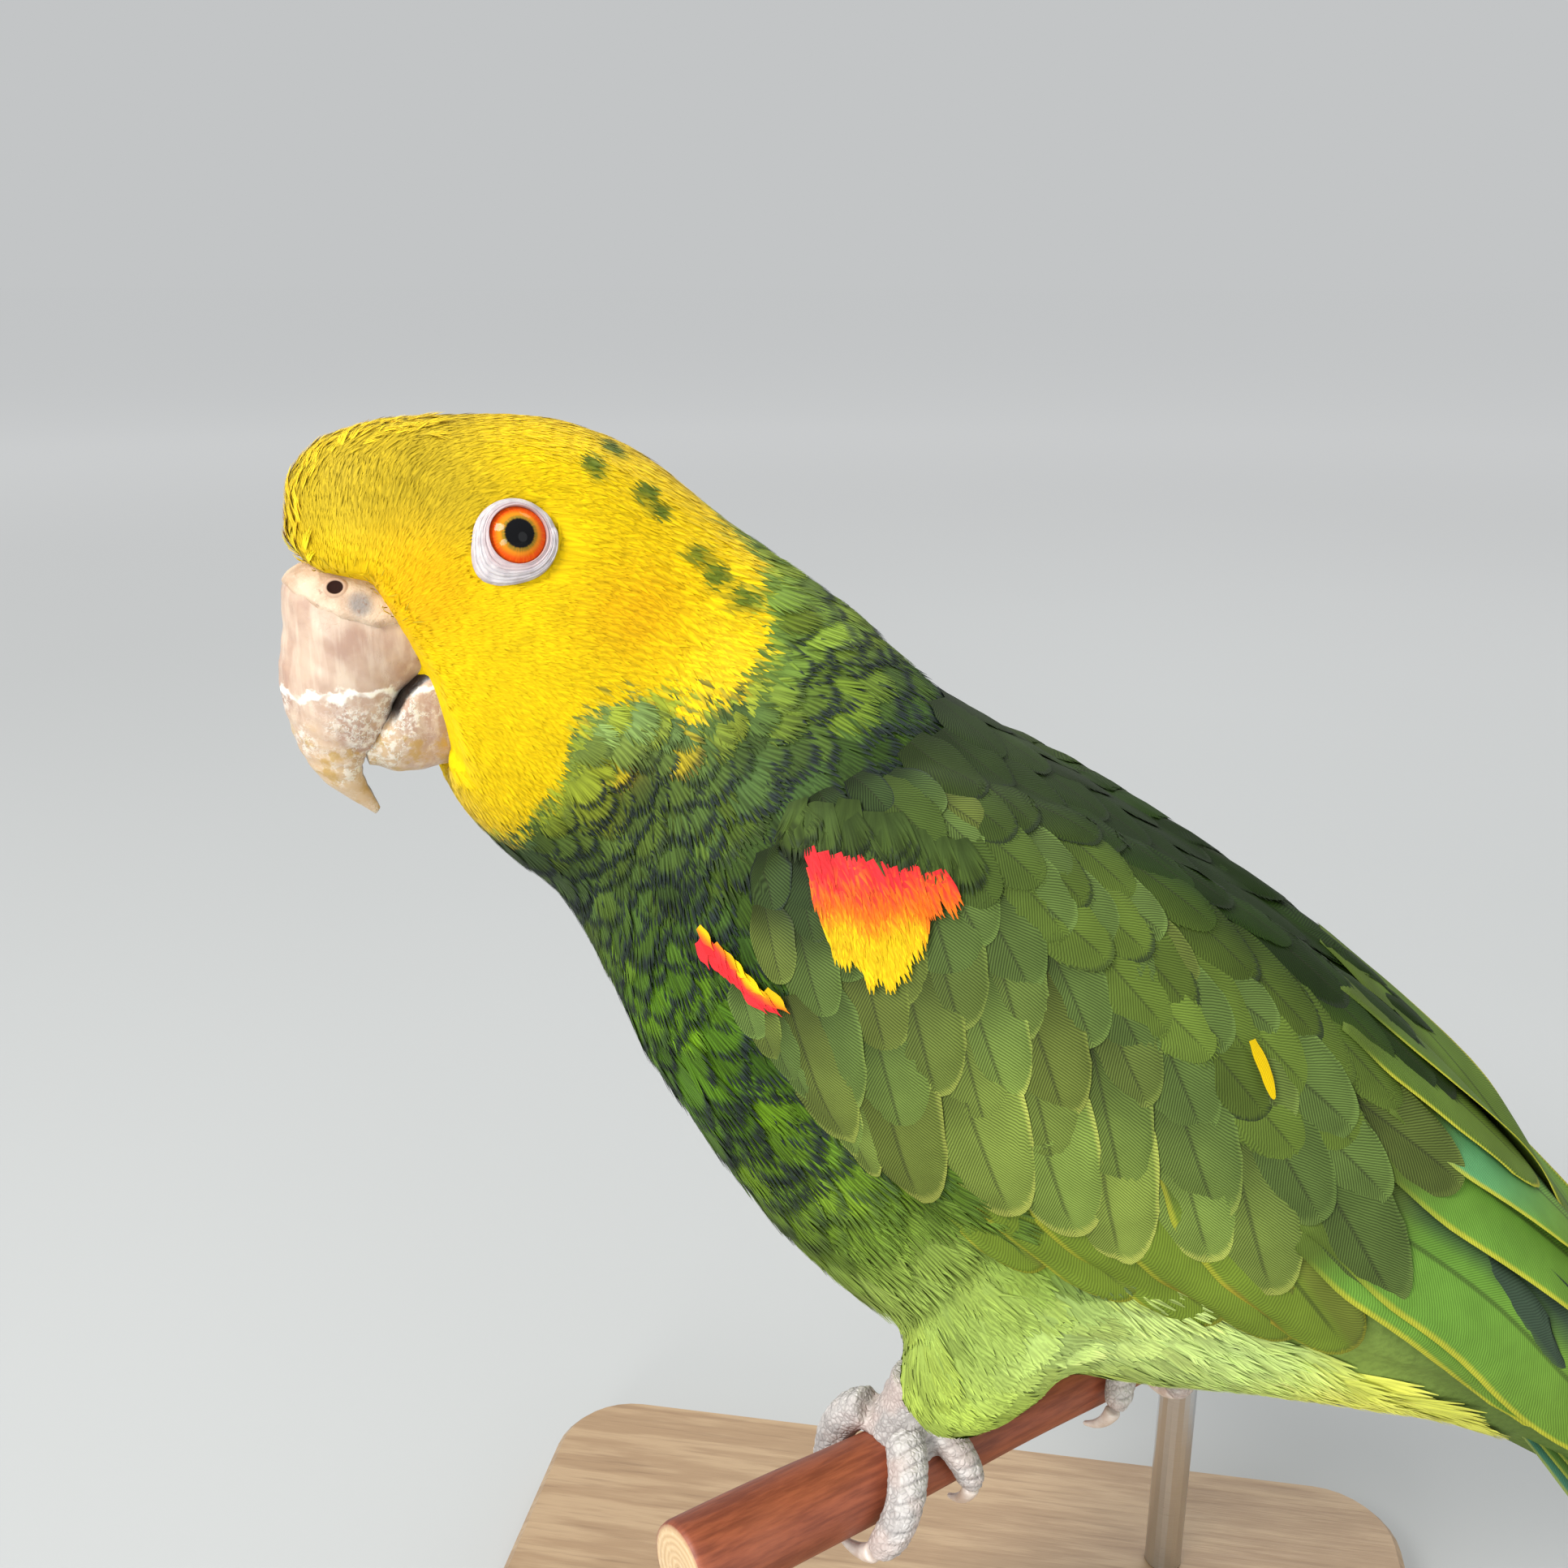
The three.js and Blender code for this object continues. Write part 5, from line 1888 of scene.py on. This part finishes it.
def eye_ring(word, skin, finish):
    """The bare wrinkled ring, from a rolled lid margin out to the feathers."""
    out = LOOK[word]
    middle = GAZE[word]
    around = 96
    steps = 18
    rings = []
    for r in range(steps + 1):
        f = r / steps
        ring = []
        for n in range(around):
            a = 2 * math.pi * n / around
            far = ring_reach(a)
            reach = LID_RADIUS + (far - LID_RADIUS) * f
            flat = head_back * math.cos(a) + LID_UP[word] * math.sin(a)
            start = middle + flat * (far + 0.4) + out * 14
            hit = first_hit(skin.tree, start, -out, 30)
            level = (bird(np.array(hit[0])) - middle) @ out + 1.1 if hit[0] else 4.0
            lid = LID_LEVEL + 0.55
            lift = lid + (level - lid) * float(ramp(0.1, 1.0, f))
            lift += 0.35 * math.sin(math.pi * min(1, f * 1.1))
            lift += 0.42 * math.exp(-((f - 0.08) / 0.07) ** 2)
            waves = math.sin(f * 24 + 1.2 * math.sin(3 * a) + 0.8 * math.sin(7 * a + 2 * f))
            creases = math.sin(a * 26 + 3 * math.sin(2 * a) + 3.0 * f)
            lift += (0.07 * waves + 0.05 * creases * f) * float(ramp(0.1, 0.3, f))
            if f == 0:
                lift -= 0.8
            if f == 1:
                lift -= 0.9
            ring.append(middle + flat * reach + out * lift)
        rings.append(ring)
    points = [p for ring in rings for p in ring]
    faces = grid_faces(steps, around, closed=True)
    piece = outward_faces(mesh_piece(f"eye_ring_{word}", world(points), faces))
    facing_out(piece, out, around * 6)
    number(piece, "depth", [r / steps for r in range(steps + 1) for _ in range(around)])
    piece.data.materials.append(finish)
    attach(piece, "root")


def ring_finish():
    """Bare, pale, wrinkled skin, rosier towards the lid, with painted shade in its creases."""
    finish = Finish("bare eye ring", Roughness=0.55, Subsurface_Weight=0.12,
                    Subsurface_Radius=(0.003, 0.0015, 0.001), Subsurface_Scale=0.5)
    depth = finish.field("depth", "Fac")
    cloud = finish.noise(0.002, 4.0)
    fine = finish.noise(0.0006, 4.0)
    base = finish.mix(cloud.step(0.3, 0.7), (0.46, 0.41, 0.43), (0.68, 0.63, 0.63))
    base = finish.mix((1 - depth.step(0.25, 0.55)) * 0.6, base, (0.60, 0.42, 0.42))
    base = finish.mix((1 - depth.step(0.0, 0.14)) * 0.7, base, (0.36, 0.22, 0.20))
    # The folds sink the bump and darken the colour in their creases: painted shade.
    folds_and_crease_shade = (depth * 45 + cloud * 5).wave() ** 3.0
    base = finish.mix(folds_and_crease_shade * 0.35, base, (0.42, 0.37, 0.42))
    height = folds_and_crease_shade * -0.5 + fine * 0.5
    return finish.feed(Base_Color=base, Normal=finish.bump(height, 0.0002, 0.8))


# ---------------------------------------------------------------- feet
def horny_finish(name, dark, pale, pitch=0.0010):
    """Small rounded scales and broad pale plates, with darker seams between them."""
    finish = Finish(name, Roughness=0.6, Specular_IOR_Level=0.3)
    sockets = {"Vector": finish.place(), "Scale": 1 / pitch}
    cells = finish.node("ShaderNodeTexVoronoi", {"feature": "DISTANCE_TO_EDGE"}, sockets)
    tone = finish.node("ShaderNodeTexVoronoi", {}, sockets, "Color")
    cloud = finish.noise(0.005, 3.0)
    vary, _, _ = tone.parts()
    top = finish.field("top", "Fac")
    plate = finish.field("plate", "Fac")
    base = finish.mix(vary * 0.35 + cloud * 0.7 + top * 0.25, dark, pale)
    seam = (1 - cells.step(0.02, 0.16)) * (1 - top * 0.7) * 0.4
    base = finish.mix(seam, base, tuple(c * 0.55 for c in dark))
    base = finish.mix((1 - plate) * 0.6, base, tuple(c * 0.6 for c in dark))
    rosy = finish.noise(0.009, 2.0).step(0.45, 0.65) * 0.35
    base = finish.mix(rosy, base, (0.62, 0.44, 0.38))
    return finish.feed(Base_Color=base, Normal=finish.bump(cells.step(0.0, 0.3), 0.0002, 0.7))


def claw_finish():
    """Pale claws with fine darker lines along them."""
    finish = Finish("claw horn", Roughness=0.32, Coat_Weight=0.2, Coat_Roughness=0.2)
    cloud = finish.noise(0.004, 3.0)
    base = finish.mix(cloud.step(0.3, 0.7), (0.62, 0.48, 0.40), (0.84, 0.76, 0.70))
    lines = finish.noise(0.0012, 3.0, 0.5, stretch=(1, 1, 4))
    base = finish.mix(lines.step(0.55, 0.75) * 0.4, base, (0.42, 0.32, 0.28))
    return finish.feed(Base_Color=base, Normal=finish.bump(lines, 0.0001, 0.5))


TOES = ("hallux", "inner", "middle", "outer")
FOOT_DARK = (0.27, 0.245, 0.24)
FOOT_PALE = (0.66, 0.62, 0.60)
PEBBLE = 0.0011
FOOT_GRAIN = 0.00045

# How far apart the plates on the toes are, along a toe that curls round the perch.
PLATE_GAP = 1.9
TOE_RADIUS = 10.5


def pebbled(piece, depth):
    """Raises small rounded scales over a mesh."""
    texture = bpy.data.textures.new("pebbles", "VORONOI")
    texture.noise_scale = PEBBLE
    texture.noise_intensity = 1.3
    return settled(piece, [("DISPLACE", {
        "texture": texture,
        "strength": -depth,
        "mid_level": 0.3,
        "texture_coords": "LOCAL",
    })])


def plated(piece):
    """Raises broad plates across the tops of the toes, where they curl round the perch."""
    places = bird(points_of(piece))
    normals = normals_of(piece)
    off = places - np.outer(places @ perch_along, perch_along)
    reach = np.linalg.norm(off, axis=1)
    outward = np.sum(normals * off, axis=1) / np.maximum(reach, 1e-6)
    across = unit(np.cross(perch_along, head_up))
    tall = np.cross(across, perch_along)
    turn = np.arctan2(off @ tall, off @ across)
    angle = turn * TOE_RADIUS * math.pi / PLATE_GAP
    plate = np.abs(np.sin(angle + 0.4 * ripple(places, 3.0, 4)))
    top = ramp(0.25, 0.7, outward) * ramp(24, 18, reach)
    rise = 0.34 * (plate ** 0.5 - 0.7) * top * MM
    move_points(piece, points_of(piece) + normals * rise[:, None])
    number(piece, "plate", 1 - top * (1 - ramp(0.0, 0.45, plate)))
    number(piece, "top", top)


def feet(finish):
    """Foot and toes of each side as one scaly skin."""
    for word in ("left", "right"):
        nodes = [f"foot_{word}"] + [f"toe_{word}_{toe}" for toe in TOES]
        piece = node_copy(f"foot_skin_{word}", nodes, 0.0003)
        settled(piece, [
            ("REMESH", {"mode": "VOXEL", "voxel_size": FOOT_GRAIN}),
            ("SMOOTH", {"factor": 0.5, "iterations": 8}),
        ])
        pebbled(piece, 0.0002)
        plated(piece)
        piece.data.materials.append(finish)
        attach(piece, "root")
        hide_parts(*nodes)


def claws(finish):
    """The four claws of each foot, rounded."""
    for word in ("left", "right"):
        nodes = [f"claw_{word}_{toe}" for toe in TOES]
        piece = node_copy(f"claws_{word}", nodes)
        settled(piece, [("SUBSURF", {"levels": 2, "render_levels": 2})])
        piece.data.materials.append(finish)
        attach(piece, "root")
        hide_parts(*nodes)


# ---------------------------------------------------------------- perch and stand
def perch_finish():
    """Smooth reddish-brown branch: grain along it, pale sawn ends with rings."""
    finish = Finish("perch wood", Roughness=0.5, Coat_Weight=0.06, Coat_Roughness=0.4)
    reach = finish.field("reach", "Fac")
    end = finish.field("sawn", "Fac")
    turn = finish.field("spoke", "Vector")
    drawn_out = finish.node(
        "ShaderNodeVectorMath", {"operation": "MULTIPLY"}, {0: turn, 1: (1, 1, 0.05)})
    grain = finish.node("ShaderNodeTexNoise", (), {
        "Vector": drawn_out, "Scale": 2.2, "Detail": 6.0, "Roughness": 0.6})
    cloud = finish.noise(0.02, 4.0)
    bark = finish.mix(grain.step(0.3, 0.7), (0.20, 0.045, 0.020), (0.36, 0.092, 0.040))
    bark = finish.mix(cloud.step(0.45, 0.75) * 0.4, bark, (0.42, 0.13, 0.062))
    rings = (reach * 5.2 + finish.noise(0.006, 2.0) * 5).wave()
    pith = 1 - reach.step(0.3, 0.9)
    wood = finish.mix(rings * 0.6, (0.66, 0.47, 0.27), (0.46, 0.29, 0.14))
    wood = finish.mix(pith, wood, (0.30, 0.16, 0.08))
    pores = finish.noise(0.0009, 3.0).step(0.5, 0.7)
    wood = finish.mix(pores * 0.3, wood, (0.78, 0.62, 0.42))
    colour = finish.mix(end, bark, wood)
    height = grain + rings * end * 0.3
    return finish.feed(Base_Color=colour, Normal=finish.bump(height, 0.0003, 0.5))


PERCH_RADIUS = (8.0, 7.0)


def make_perch():
    """A cut length of branch: slightly uneven, sawn square, bark rounded over the ends."""
    across = unit(np.cross(perch_along, head_up))
    tall = np.cross(across, perch_along)
    steps = 70
    around = 72
    stations = np.concatenate([
        [PERCH_FROM, PERCH_FROM, PERCH_FROM + 0.2],
        np.linspace(PERCH_FROM + 1.2, PERCH_TO - 1.2, steps),
        [PERCH_TO - 0.2, PERCH_TO, PERCH_TO],
    ])
    shares = [0.45, 0.88, 0.96] + [1.0] * steps + [0.96, 0.88, 0.45]
    rings = []
    reach = []
    spoke = []
    sawn = []
    for i, (x, share) in enumerate(zip(stations, shares)):
        radius = np.interp(x, (PERCH_FROM, PERCH_TO), PERCH_RADIUS) * share
        ring = []
        for n in range(around):
            a = 2 * math.pi * n / around
            flat = across * math.cos(a) + tall * math.sin(a)
            bump = 0.16 * math.sin(2 * a + x * 0.05) + 0.12 * math.sin(3 * a - x * 0.11 + 1)
            knot = 0.5 * math.exp(-((x - 47) / 5) ** 2 - ((a - 2.2) / 0.5) ** 2)
            knot += 0.45 * math.exp(-((x + 55) / 4) ** 2 - ((a - 4.4) / 0.5) ** 2)
            ring.append(perch_along * x + flat * (radius - 0.25 + (bump + knot) * (share > 0.9)))
            reach.append(radius)
            spoke.append((math.cos(a) * 3, math.sin(a) * 3, x))
            sawn.append(1.0 if i < 2 or i > len(stations) - 3 else 0.0)
        rings.append(ring)
    points, faces = loft(rings)
    piece = outward_faces(mesh_piece("perch_branch", world(points), faces))
    number(piece, "reach", reach + [0.0, 0.0])
    vector(piece, "spoke", spoke + [(0, 0, PERCH_FROM), (0, 0, PERCH_TO)])
    number(piece, "sawn", sawn + [1.0, 1.0])
    piece.data.materials.append(perch_finish())
    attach(piece, "root")
    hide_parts("perch")


def dress(node, material):
    """Gives a solid that stays its finish."""
    mesh = frame["nodes"][node].data
    for i in range(max(1, len(mesh.materials))):
        if mesh.materials:
            mesh.materials[i] = material
        else:
            mesh.materials.append(material)


def base_finish():
    """Pale oiled wood with grain along the base."""
    finish = Finish("base wood", Roughness=0.45, Coat_Weight=0.1, Coat_Roughness=0.3)
    grain = finish.noise(0.010, 5.0, 0.6, stretch=(0.12, 1, 1))
    fibre = finish.noise(0.0012, 3.0, 0.6, stretch=(0.05, 1, 1))
    bands = (grain * 26).wave()
    colour = finish.mix(bands * 0.55, (0.42, 0.29, 0.17), (0.26, 0.155, 0.08))
    colour = finish.mix(fibre.step(0.5, 0.75) * 0.4, colour, (0.16, 0.09, 0.045))
    rough = fibre * 0.25 + 0.32
    raised = finish.bump(fibre + bands * 0.3, 0.0002, 0.5)
    return finish.feed(Base_Color=colour, Roughness=rough, Normal=raised)


def rod_finish():
    """Steel brushed round the rod."""
    finish = Finish("brushed steel", Metallic=1.0, Roughness=0.3, Anisotropic=0.4)
    brushed = finish.noise(0.0008, 4.0, 0.6, stretch=(0.15, 0.15, 6))
    colour = finish.mix(brushed, (0.55, 0.56, 0.57), (0.70, 0.71, 0.72))
    rough = brushed * 0.2 + 0.22
    raised = finish.bump(brushed, 0.00005, 0.4)
    return finish.feed(Base_Color=colour, Roughness=rough, Normal=raised)


# ---------------------------------------------------------------- stage
FLOOR_REACH = 30
CHEST = (-20, 0, 90)
BELLY = (10, 0, 50)


def make_stage():
    """A pale floor whose far part grows as bright as the backdrop, so that no horizon shows."""
    points = [(x, y, 0.0) for y in (-FLOOR_REACH, FLOOR_REACH) for x in (-FLOOR_REACH, FLOOR_REACH)]
    floor = mesh_piece("floor", points, [(0, 1, 3, 2)])
    finish = Finish("pale floor", Roughness=1.0, Specular_IOR_Level=0.0)
    grain = finish.noise(0.6, 3.0)
    near = finish.mix(grain, (0.47, 0.48, 0.48), (0.50, 0.51, 0.51))
    reach = finish.node(
        "ShaderNodeVectorMath", {"operation": "LENGTH"}, {0: finish.place()}, "Value")
    colour = finish.mix(reach.step(0.4, 3.0), near, (0.995, 0.995, 0.995))
    floor.data.materials.append(finish.feed(Base_Color=colour))
    floor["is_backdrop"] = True
    sky = bpy.data.worlds.new("studio")
    sky.use_nodes = True
    backdrop = sky.node_tree.nodes["Background"].inputs
    backdrop["Color"].default_value = (0.88, 0.9, 0.91, 1)
    backdrop["Strength"].default_value = 0.62
    bpy.context.scene.world = sky
    bpy.context.scene.view_settings.view_transform = "Standard"


def lamp(name, step, toward, size, power, colour=(1, 1, 1), spread=180):
    """A round lamp, so many metres from the bird's chest, that points at a place."""
    at = world(CHEST) + np.array(step)
    light = bpy.data.lights.new(name, "AREA")
    light.shape = "DISK"
    light.size = size
    light.energy = power
    light.color = colour
    light.spread = math.radians(spread)
    holder = bpy.data.objects.new(name, light)
    holder.location = at
    way = Vector(world(toward)) - Vector(at)
    holder.rotation_euler = way.to_track_quat("-Z", "Y").to_euler()
    bpy.context.collection.objects.link(holder)


def make_light():
    """A window in front and above, a cool fill, a weak low lamp for the belly, one above."""
    lamp("window", (-0.70, -0.90, 1.05), CHEST, 0.6, 23.0, (1.0, 0.99, 0.96))
    lamp("fill", (1.1, -0.9, 0.35), CHEST, 1.0, 3, (0.95, 0.98, 1.0))
    lamp("low", (-0.25, -0.95, 0.06), BELLY, 0.3, 0.58, (0.98, 1.0, 0.97), spread=70)
    lamp("top", (0.3, 0.8, 1.2), CHEST, 0.9, 9)


CAMERA_FROM_PERCH = (3.6, -254.3, 209.5)
CAMERA_LOOKS = (-0.1652, 0.9366, -0.3090)


def make_camera():
    """A camera in front of the bird's left side, a little above it."""
    lens = bpy.data.cameras.new("camera")
    lens.lens = 36.1
    lens.sensor_width = 36
    lens.clip_start = 0.01
    camera = bpy.data.objects.new("camera", lens)
    camera.location = world(CAMERA_FROM_PERCH)
    camera.rotation_euler = Vector(CAMERA_LOOKS).to_track_quat("-Z", "Y").to_euler()
    bpy.context.collection.objects.link(camera)
    bpy.context.scene.camera = camera


# ---------------------------------------------------------------- the bird
def from_bill(places):
    """How far a place is from the root of the bill."""
    return np.linalg.norm(on_head(places) - BILL_BASE, axis=-1)


def is_head(places):
    """Where the head's own fine feathers grow."""
    return yellowness(places, 0.0) > 0.02


def near_eye(places):
    """How far outside the bare ring of the nearer eye, in millimetres."""
    gap = np.full(len(places), 99.0)
    for word in ("left", "right"):
        back, up, out = on_eye(places, word)
        reach = np.array([ring_reach(a) for a in np.arctan2(up, back)])
        far = np.hypot(back, up) - reach
        gap = np.where(out > -8, np.minimum(gap, far), gap)
    return gap


def clear_of_eye(roots):
    """Leaves out the tufts that would lie over the bare ring."""
    at = bird(roots["at"])
    lie = roots["lie"]
    length = roots["size"][:, :1] / MM
    clear = near_eye(at) > 0.3
    for share in (0.35, 0.7, 0.95):
        clear &= near_eye(at + lie * length * share) > -0.35
    for word in ("left", "right"):
        back, up, out = on_eye(at, word)
        beside = (np.hypot(back, up) < 14) & (out > -12)
        clear &= ~beside | (roots["facing"] @ LOOK[word] > 0.3)
    return chosen_roots(roots, clear)


make_camera()
make_stage()
make_light()

body = make_skin()
unwrap(body)
body.data.materials.append(skin_finish())
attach(body, "root")
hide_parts(*FLESH)
skin = Skin(body)

lay = coat_tree()
silk = tuft("silk tuft", 5, 3, 0.30, 3, width=1.7, curl=0.10, taper=3.0)
wisp = tuft("wisp tuft", 8, 4, 0.30, 4, width=1.7, curl=0.15, taper=2.5, loose=0.15)
flame = tuft("flame tuft", 4, 3, 0.34, 6, width=1.6, curl=0.1, taper=1.5)
spear = vane("spear vane", 6, 4, 0.15, bow=0.12, root=0.6, tail=0.06)
scallop = tuft(
    "fan tuft", 17, 4, 0.44, 8, width=1.1, taper=5.0, loose=0.03,
    round_off=0.34, ragged=0.10, sway=0.012)
downy = tuft(
    "plume tuft", 13, 4, 0.42, 9, width=1.7, curl=0.08, taper=4.0, loose=0.03,
    round_off=0.3, ragged=0.16, sway=0.02)
shoulder = vane("shoulder vane", 6, 12, 0.12, bow=0.36, comb=22, reach=0.06, root=0.6, tail=0.9)
covert = vane("covert vane", 9, 12, 0.20, bow=0.32, root=0.6, tail=0.88)

silk_finish = tuft_finish("silk feathers", 0.9)
wisp_finish = tuft_finish("wispy feathers", 0.5)
scallop_finish = plumage(
    "scalloped feathers", pitch=0.42, barb=0.6, shaft=0.0, rims=(3.0, 4.0, 0.76, 0.90), wisp=0.10,
    fan=True, cool=0.25, shadow=0.35, soft=0.9)
downy_finish = plumage(
    "flank feathers", pitch=0.42, barb=0.34, shaft=0.0, rims=(3.0, 4.0, 0.75, 1.0), wisp=0.3,
    fan=True, cool=0.15, shadow=0.08, soft=0.9)
shoulder_finish = plumage(
    "shoulder feathers", pitch=0.62, barb=0.5, shaft=0.4, rims=(3.0, 4.0, 0.93, 0.985),
    wisp=0.07, shadow=0.3, split=0.15)
covert_finish = plumage(
    "covert feathers", pitch=0.62, barb=0.6, shaft=0.45, rims=(0.86, 0.97, 0.93, 0.98),
    shadow=0.55, split=0.22, wisp=0.05)
flight_finish = plumage(
    "flight feathers", pitch=0.62, barb=0.35, shaft=0.5, rims=(0.88, 0.96, 0.975, 0.995),
    shadow=0.2, wisp=0.02, bow=0.1)


def head_size(q):
    """Length, width and lift: larger away from the bill, and longer over the brow."""
    far = ramp(8, 62, from_bill(q))
    brow = ramp(-14, -26, on_head(q)[:, 0]) * ramp(6, 14, on_head(q)[:, 2])
    length = 2.6 + 5.8 * far + 2.0 * brow
    width = 1.6 + 2.4 * far + 0.5 * brow
    return np.stack([length, width, 0.25 + 0.25 * far + 0.25 * brow], axis=-1)


head_roots = clear_of_eye(grow(
    skin,
    lambda q: 0.62 + 0.62 * ramp(8, 62, from_bill(q)),
    lambda q: is_head(q) & (near_eye(q) > 0) & (bareness(q) < 0.3),
    160000,
    head_size,
    swing=0.09,
))
is_left = bird(head_roots["at"]) @ head_left > head_middle @ head_left
for word, mask in (("left", is_left), ("right", ~is_left)):
    roots = chosen_roots(head_roots, mask)
    piece = lay_coat(
        f"head_feathers_{word}", body, silk, silk_finish, roots, 0.1, body_marks,
        share=0.3, vary=0.04)


def is_brow(q):
    """The front of the forehead, over the cere."""
    head = on_head(q)
    return (head[:, 0] < -16) & (head[:, 2] > 5) & (bareness(q) < 0) & (abs(head[:, 1]) < 6)


roots = clear_of_eye(grow(
    skin,
    evenly(1.3),
    is_brow,
    24000,
    evenly((5.0, 1.6, 0.7)),
    swing=0.35,
))
piece = lay_coat("brow_wisps", body, wisp, wisp_finish, roots, 0.2, brow_marks, share=0.3)


def is_edge(q):
    """A narrow band of the face beside the cere and the root of the bill."""
    bare = bareness(q)
    return (bare > -1.2) & (bare < 0.8) & (on_head(q)[:, 2] > -4)


roots = grow(
    skin,
    evenly(1.5),
    is_edge,
    9000,
    evenly((2.2, 0.2, 0.9)),
    swing=0.7,
)
piece = lay_coat("bristles", body, spear, wisp_finish, roots, 0.3, bristle_marks)


def is_soft(q):
    """The belly, the flanks, the thighs and under the tail, where the feathers are downy."""
    s, n = on_axis(q)
    legs = (q[:, 2] < 26) & (q[:, 0] < 60)
    return ((s > -50) & (n < 56)) | ((s > -14) & (n < 84)) | legs


def wing_cut(q):
    """How far the small feathers run on under the wing's own: farthest at the shoulder."""
    return 0.6 + 0.5 * ramp(-84, -92, on_axis(q)[0])


def body_size(q):
    """Length, width and lift: larger down the body, and smaller beside the yellow."""
    s, _ = on_axis(q)
    f = ramp(-130, -60, s)
    young = 1 - 0.35 * ramp(10, 2, from_yellow(q))
    return np.stack([(12 + 5 * f) * young, (11.5 + 4 * f) * young, 0.9 + 0.3 * f], axis=-1)


scallops = grow(
    skin,
    lambda q: 3.3 + 1.6 * ramp(-130, -60, on_axis(q)[0]) - 1.1 * ramp(10, 2, from_yellow(q)),
    lambda q: ~is_head(q) & (wing_share(q) < wing_cut(q)) & ~is_soft(q),
    30000,
    body_size,
    swing=0.10,
)
piece = lay_coat(
    "body_feathers", body, scallop, scallop_finish, scallops, 0.15, body_marks, share=0.2)


def down_size(q):
    """Length, width and lift: longer towards the tail."""
    f = ramp(-10, 30, on_axis(q)[0])
    return np.stack([12 + 9 * f, 8.0 + 1.5 * f, 0.45 + 0.2 * f], axis=-1)


down = grow(
    skin,
    evenly(3.2),
    lambda q: is_soft(q) & (wing_share(q) < 0.8),
    30000,
    down_size,
    swing=0.12,
)
piece = lay_coat("belly_feathers", body, downy, downy_finish, down, 0.1, body_marks, share=0.3)


def is_fluffy(q):
    """Round the vent and the bottom of the thighs, where wisps hang over the down."""
    s, n = on_axis(q)
    vent = (s > -6) & (s < 40) & (n < 62 + 0.22 * s)
    hem = (q[:, 2] < 16) & (q[:, 0] < 50)
    return vent | hem


fluff = grow(
    skin,
    evenly(2.2),
    lambda q: is_fluffy(q) & (wing_share(q) < 0.5),
    20000,
    evenly((12, 4.2, 0.7)),
    swing=0.15,
)
piece = lay_coat("belly_fluff", body, wisp, wisp_finish, fluff, 0.5, body_marks, share=0.2)

# The wing's coats: name, where its feathers go, their vane and finish, how far they stand off
# the skin, their colours, and how much those change within a feather.
WING_COATS = (
    ("wing_coverts", covert_rows, covert, covert_finish, 1.5, wing_marks, 0.7),
    ("shoulder_feathers", scapular_rows, shoulder, shoulder_finish, 1.5, shoulder_marks, 0.5),
    ("shoulder_patch", patch_rows, flame, silk_finish, 2.6, patch_tuft_marks, 1.0),
    ("bend_patch", bend_rows, spear, silk_finish, 2.4, bend_marks, 0.6),
    ("shoulder_fringe", fringe_rows, scallop, scallop_finish, 2.2, shoulder_marks, 0.5),
    ("wing_fleck", fleck_rows, covert, silk_finish, 3.6, fleck_marks, 0.5),
)
for word, side in (("left", -1), ("right", 1)):
    for name, rows_of, shape, finish, bed, marks, share in WING_COATS:
        rows = laid_rows(skin, rows_of(side))
        piece = lay_coat(f"{name}_{word}", body, shape, finish, rows, bed, marks, share)
    quills = [flight_feather(skin, side, i, row) for i, row in enumerate(FLIGHT)]
    piece = quill_piece(f"flight_feathers_{word}", quills, flight_finish)

quills = [tail_feather(side, k) for side in (-1, 1) for k in range(TAIL_PAIRS)]
piece = quill_piece("tail_feathers", quills, flight_finish)
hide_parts("tail")

horn_finish = bill_finish()
# The last number of each horn is where the painted shadow of the slit starts near its cutting edge.
upper = horn("bill_upper_horn", BILL, 0.1, 6, 96, 72, bill_relief, horn_finish, lip=0.955)
lower = horn("bill_lower_horn", JAW, 0, 3, 44, 64, jaw_relief, horn_finish, widest=0.82, lip=0.965)
cere = horn("cere_flesh", BILL, 0, 1.6, 60, 96, cere_relief, cere_finish(), lip=1.0)
for piece, node, slot in (
    (upper, "bill_upper", "bill"),
    (lower, "bill_lower", "bill"),
    (cere, "cere", "cere"),
):
    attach(piece, "root")
    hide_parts(node)

# The lower bill gets painted shadow where it meets the upper one, and the cere has one grey smudge.
beside = tree_of(upper)
near = np.array([beside.find_nearest(Vector(p))[3] / MM for p in points_of(lower)])
level = on_head(bird(points_of(lower)))[:, 2]
# Painted shadow on the lower bill: darkest within 2 mm of the upper horn, gone by 2.6 mm.
number(lower, "gap", ramp(2.6, 2.0, near) * ramp(-23.5, -20, level))
back, left, up = on_head(bird(points_of(cere))).T
from_smudge = np.hypot(back - SMUDGE[0], up - SMUDGE[1])
number(cere, "smudge", ramp(2.6, 0.9, from_smudge) * (left > 0))
holes = nostrils(cere)
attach(holes, "root")

bare = ring_finish()
for word in ("left", "right"):
    eyeball(word)
    eye_ring(word, skin, bare)

feet(horny_finish("foot scales", FOOT_DARK, FOOT_PALE))
claws(claw_finish())
make_perch()
dress("stand_base", base_finish())
for rod in ("stand_rod_near", "stand_rod_far"):
    dress(rod, rod_finish())

for shape in (silk, wisp, flame, spear, scallop, downy, shoulder, covert):
    bpy.data.objects.remove(shape)

low, high = cad_box
now_low, now_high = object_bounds()
({
    "cad": [[float(v) for v in low], [float(v) for v in high]],
    "visual": [[float(v) for v in now_low], [float(v) for v in now_high]],
})
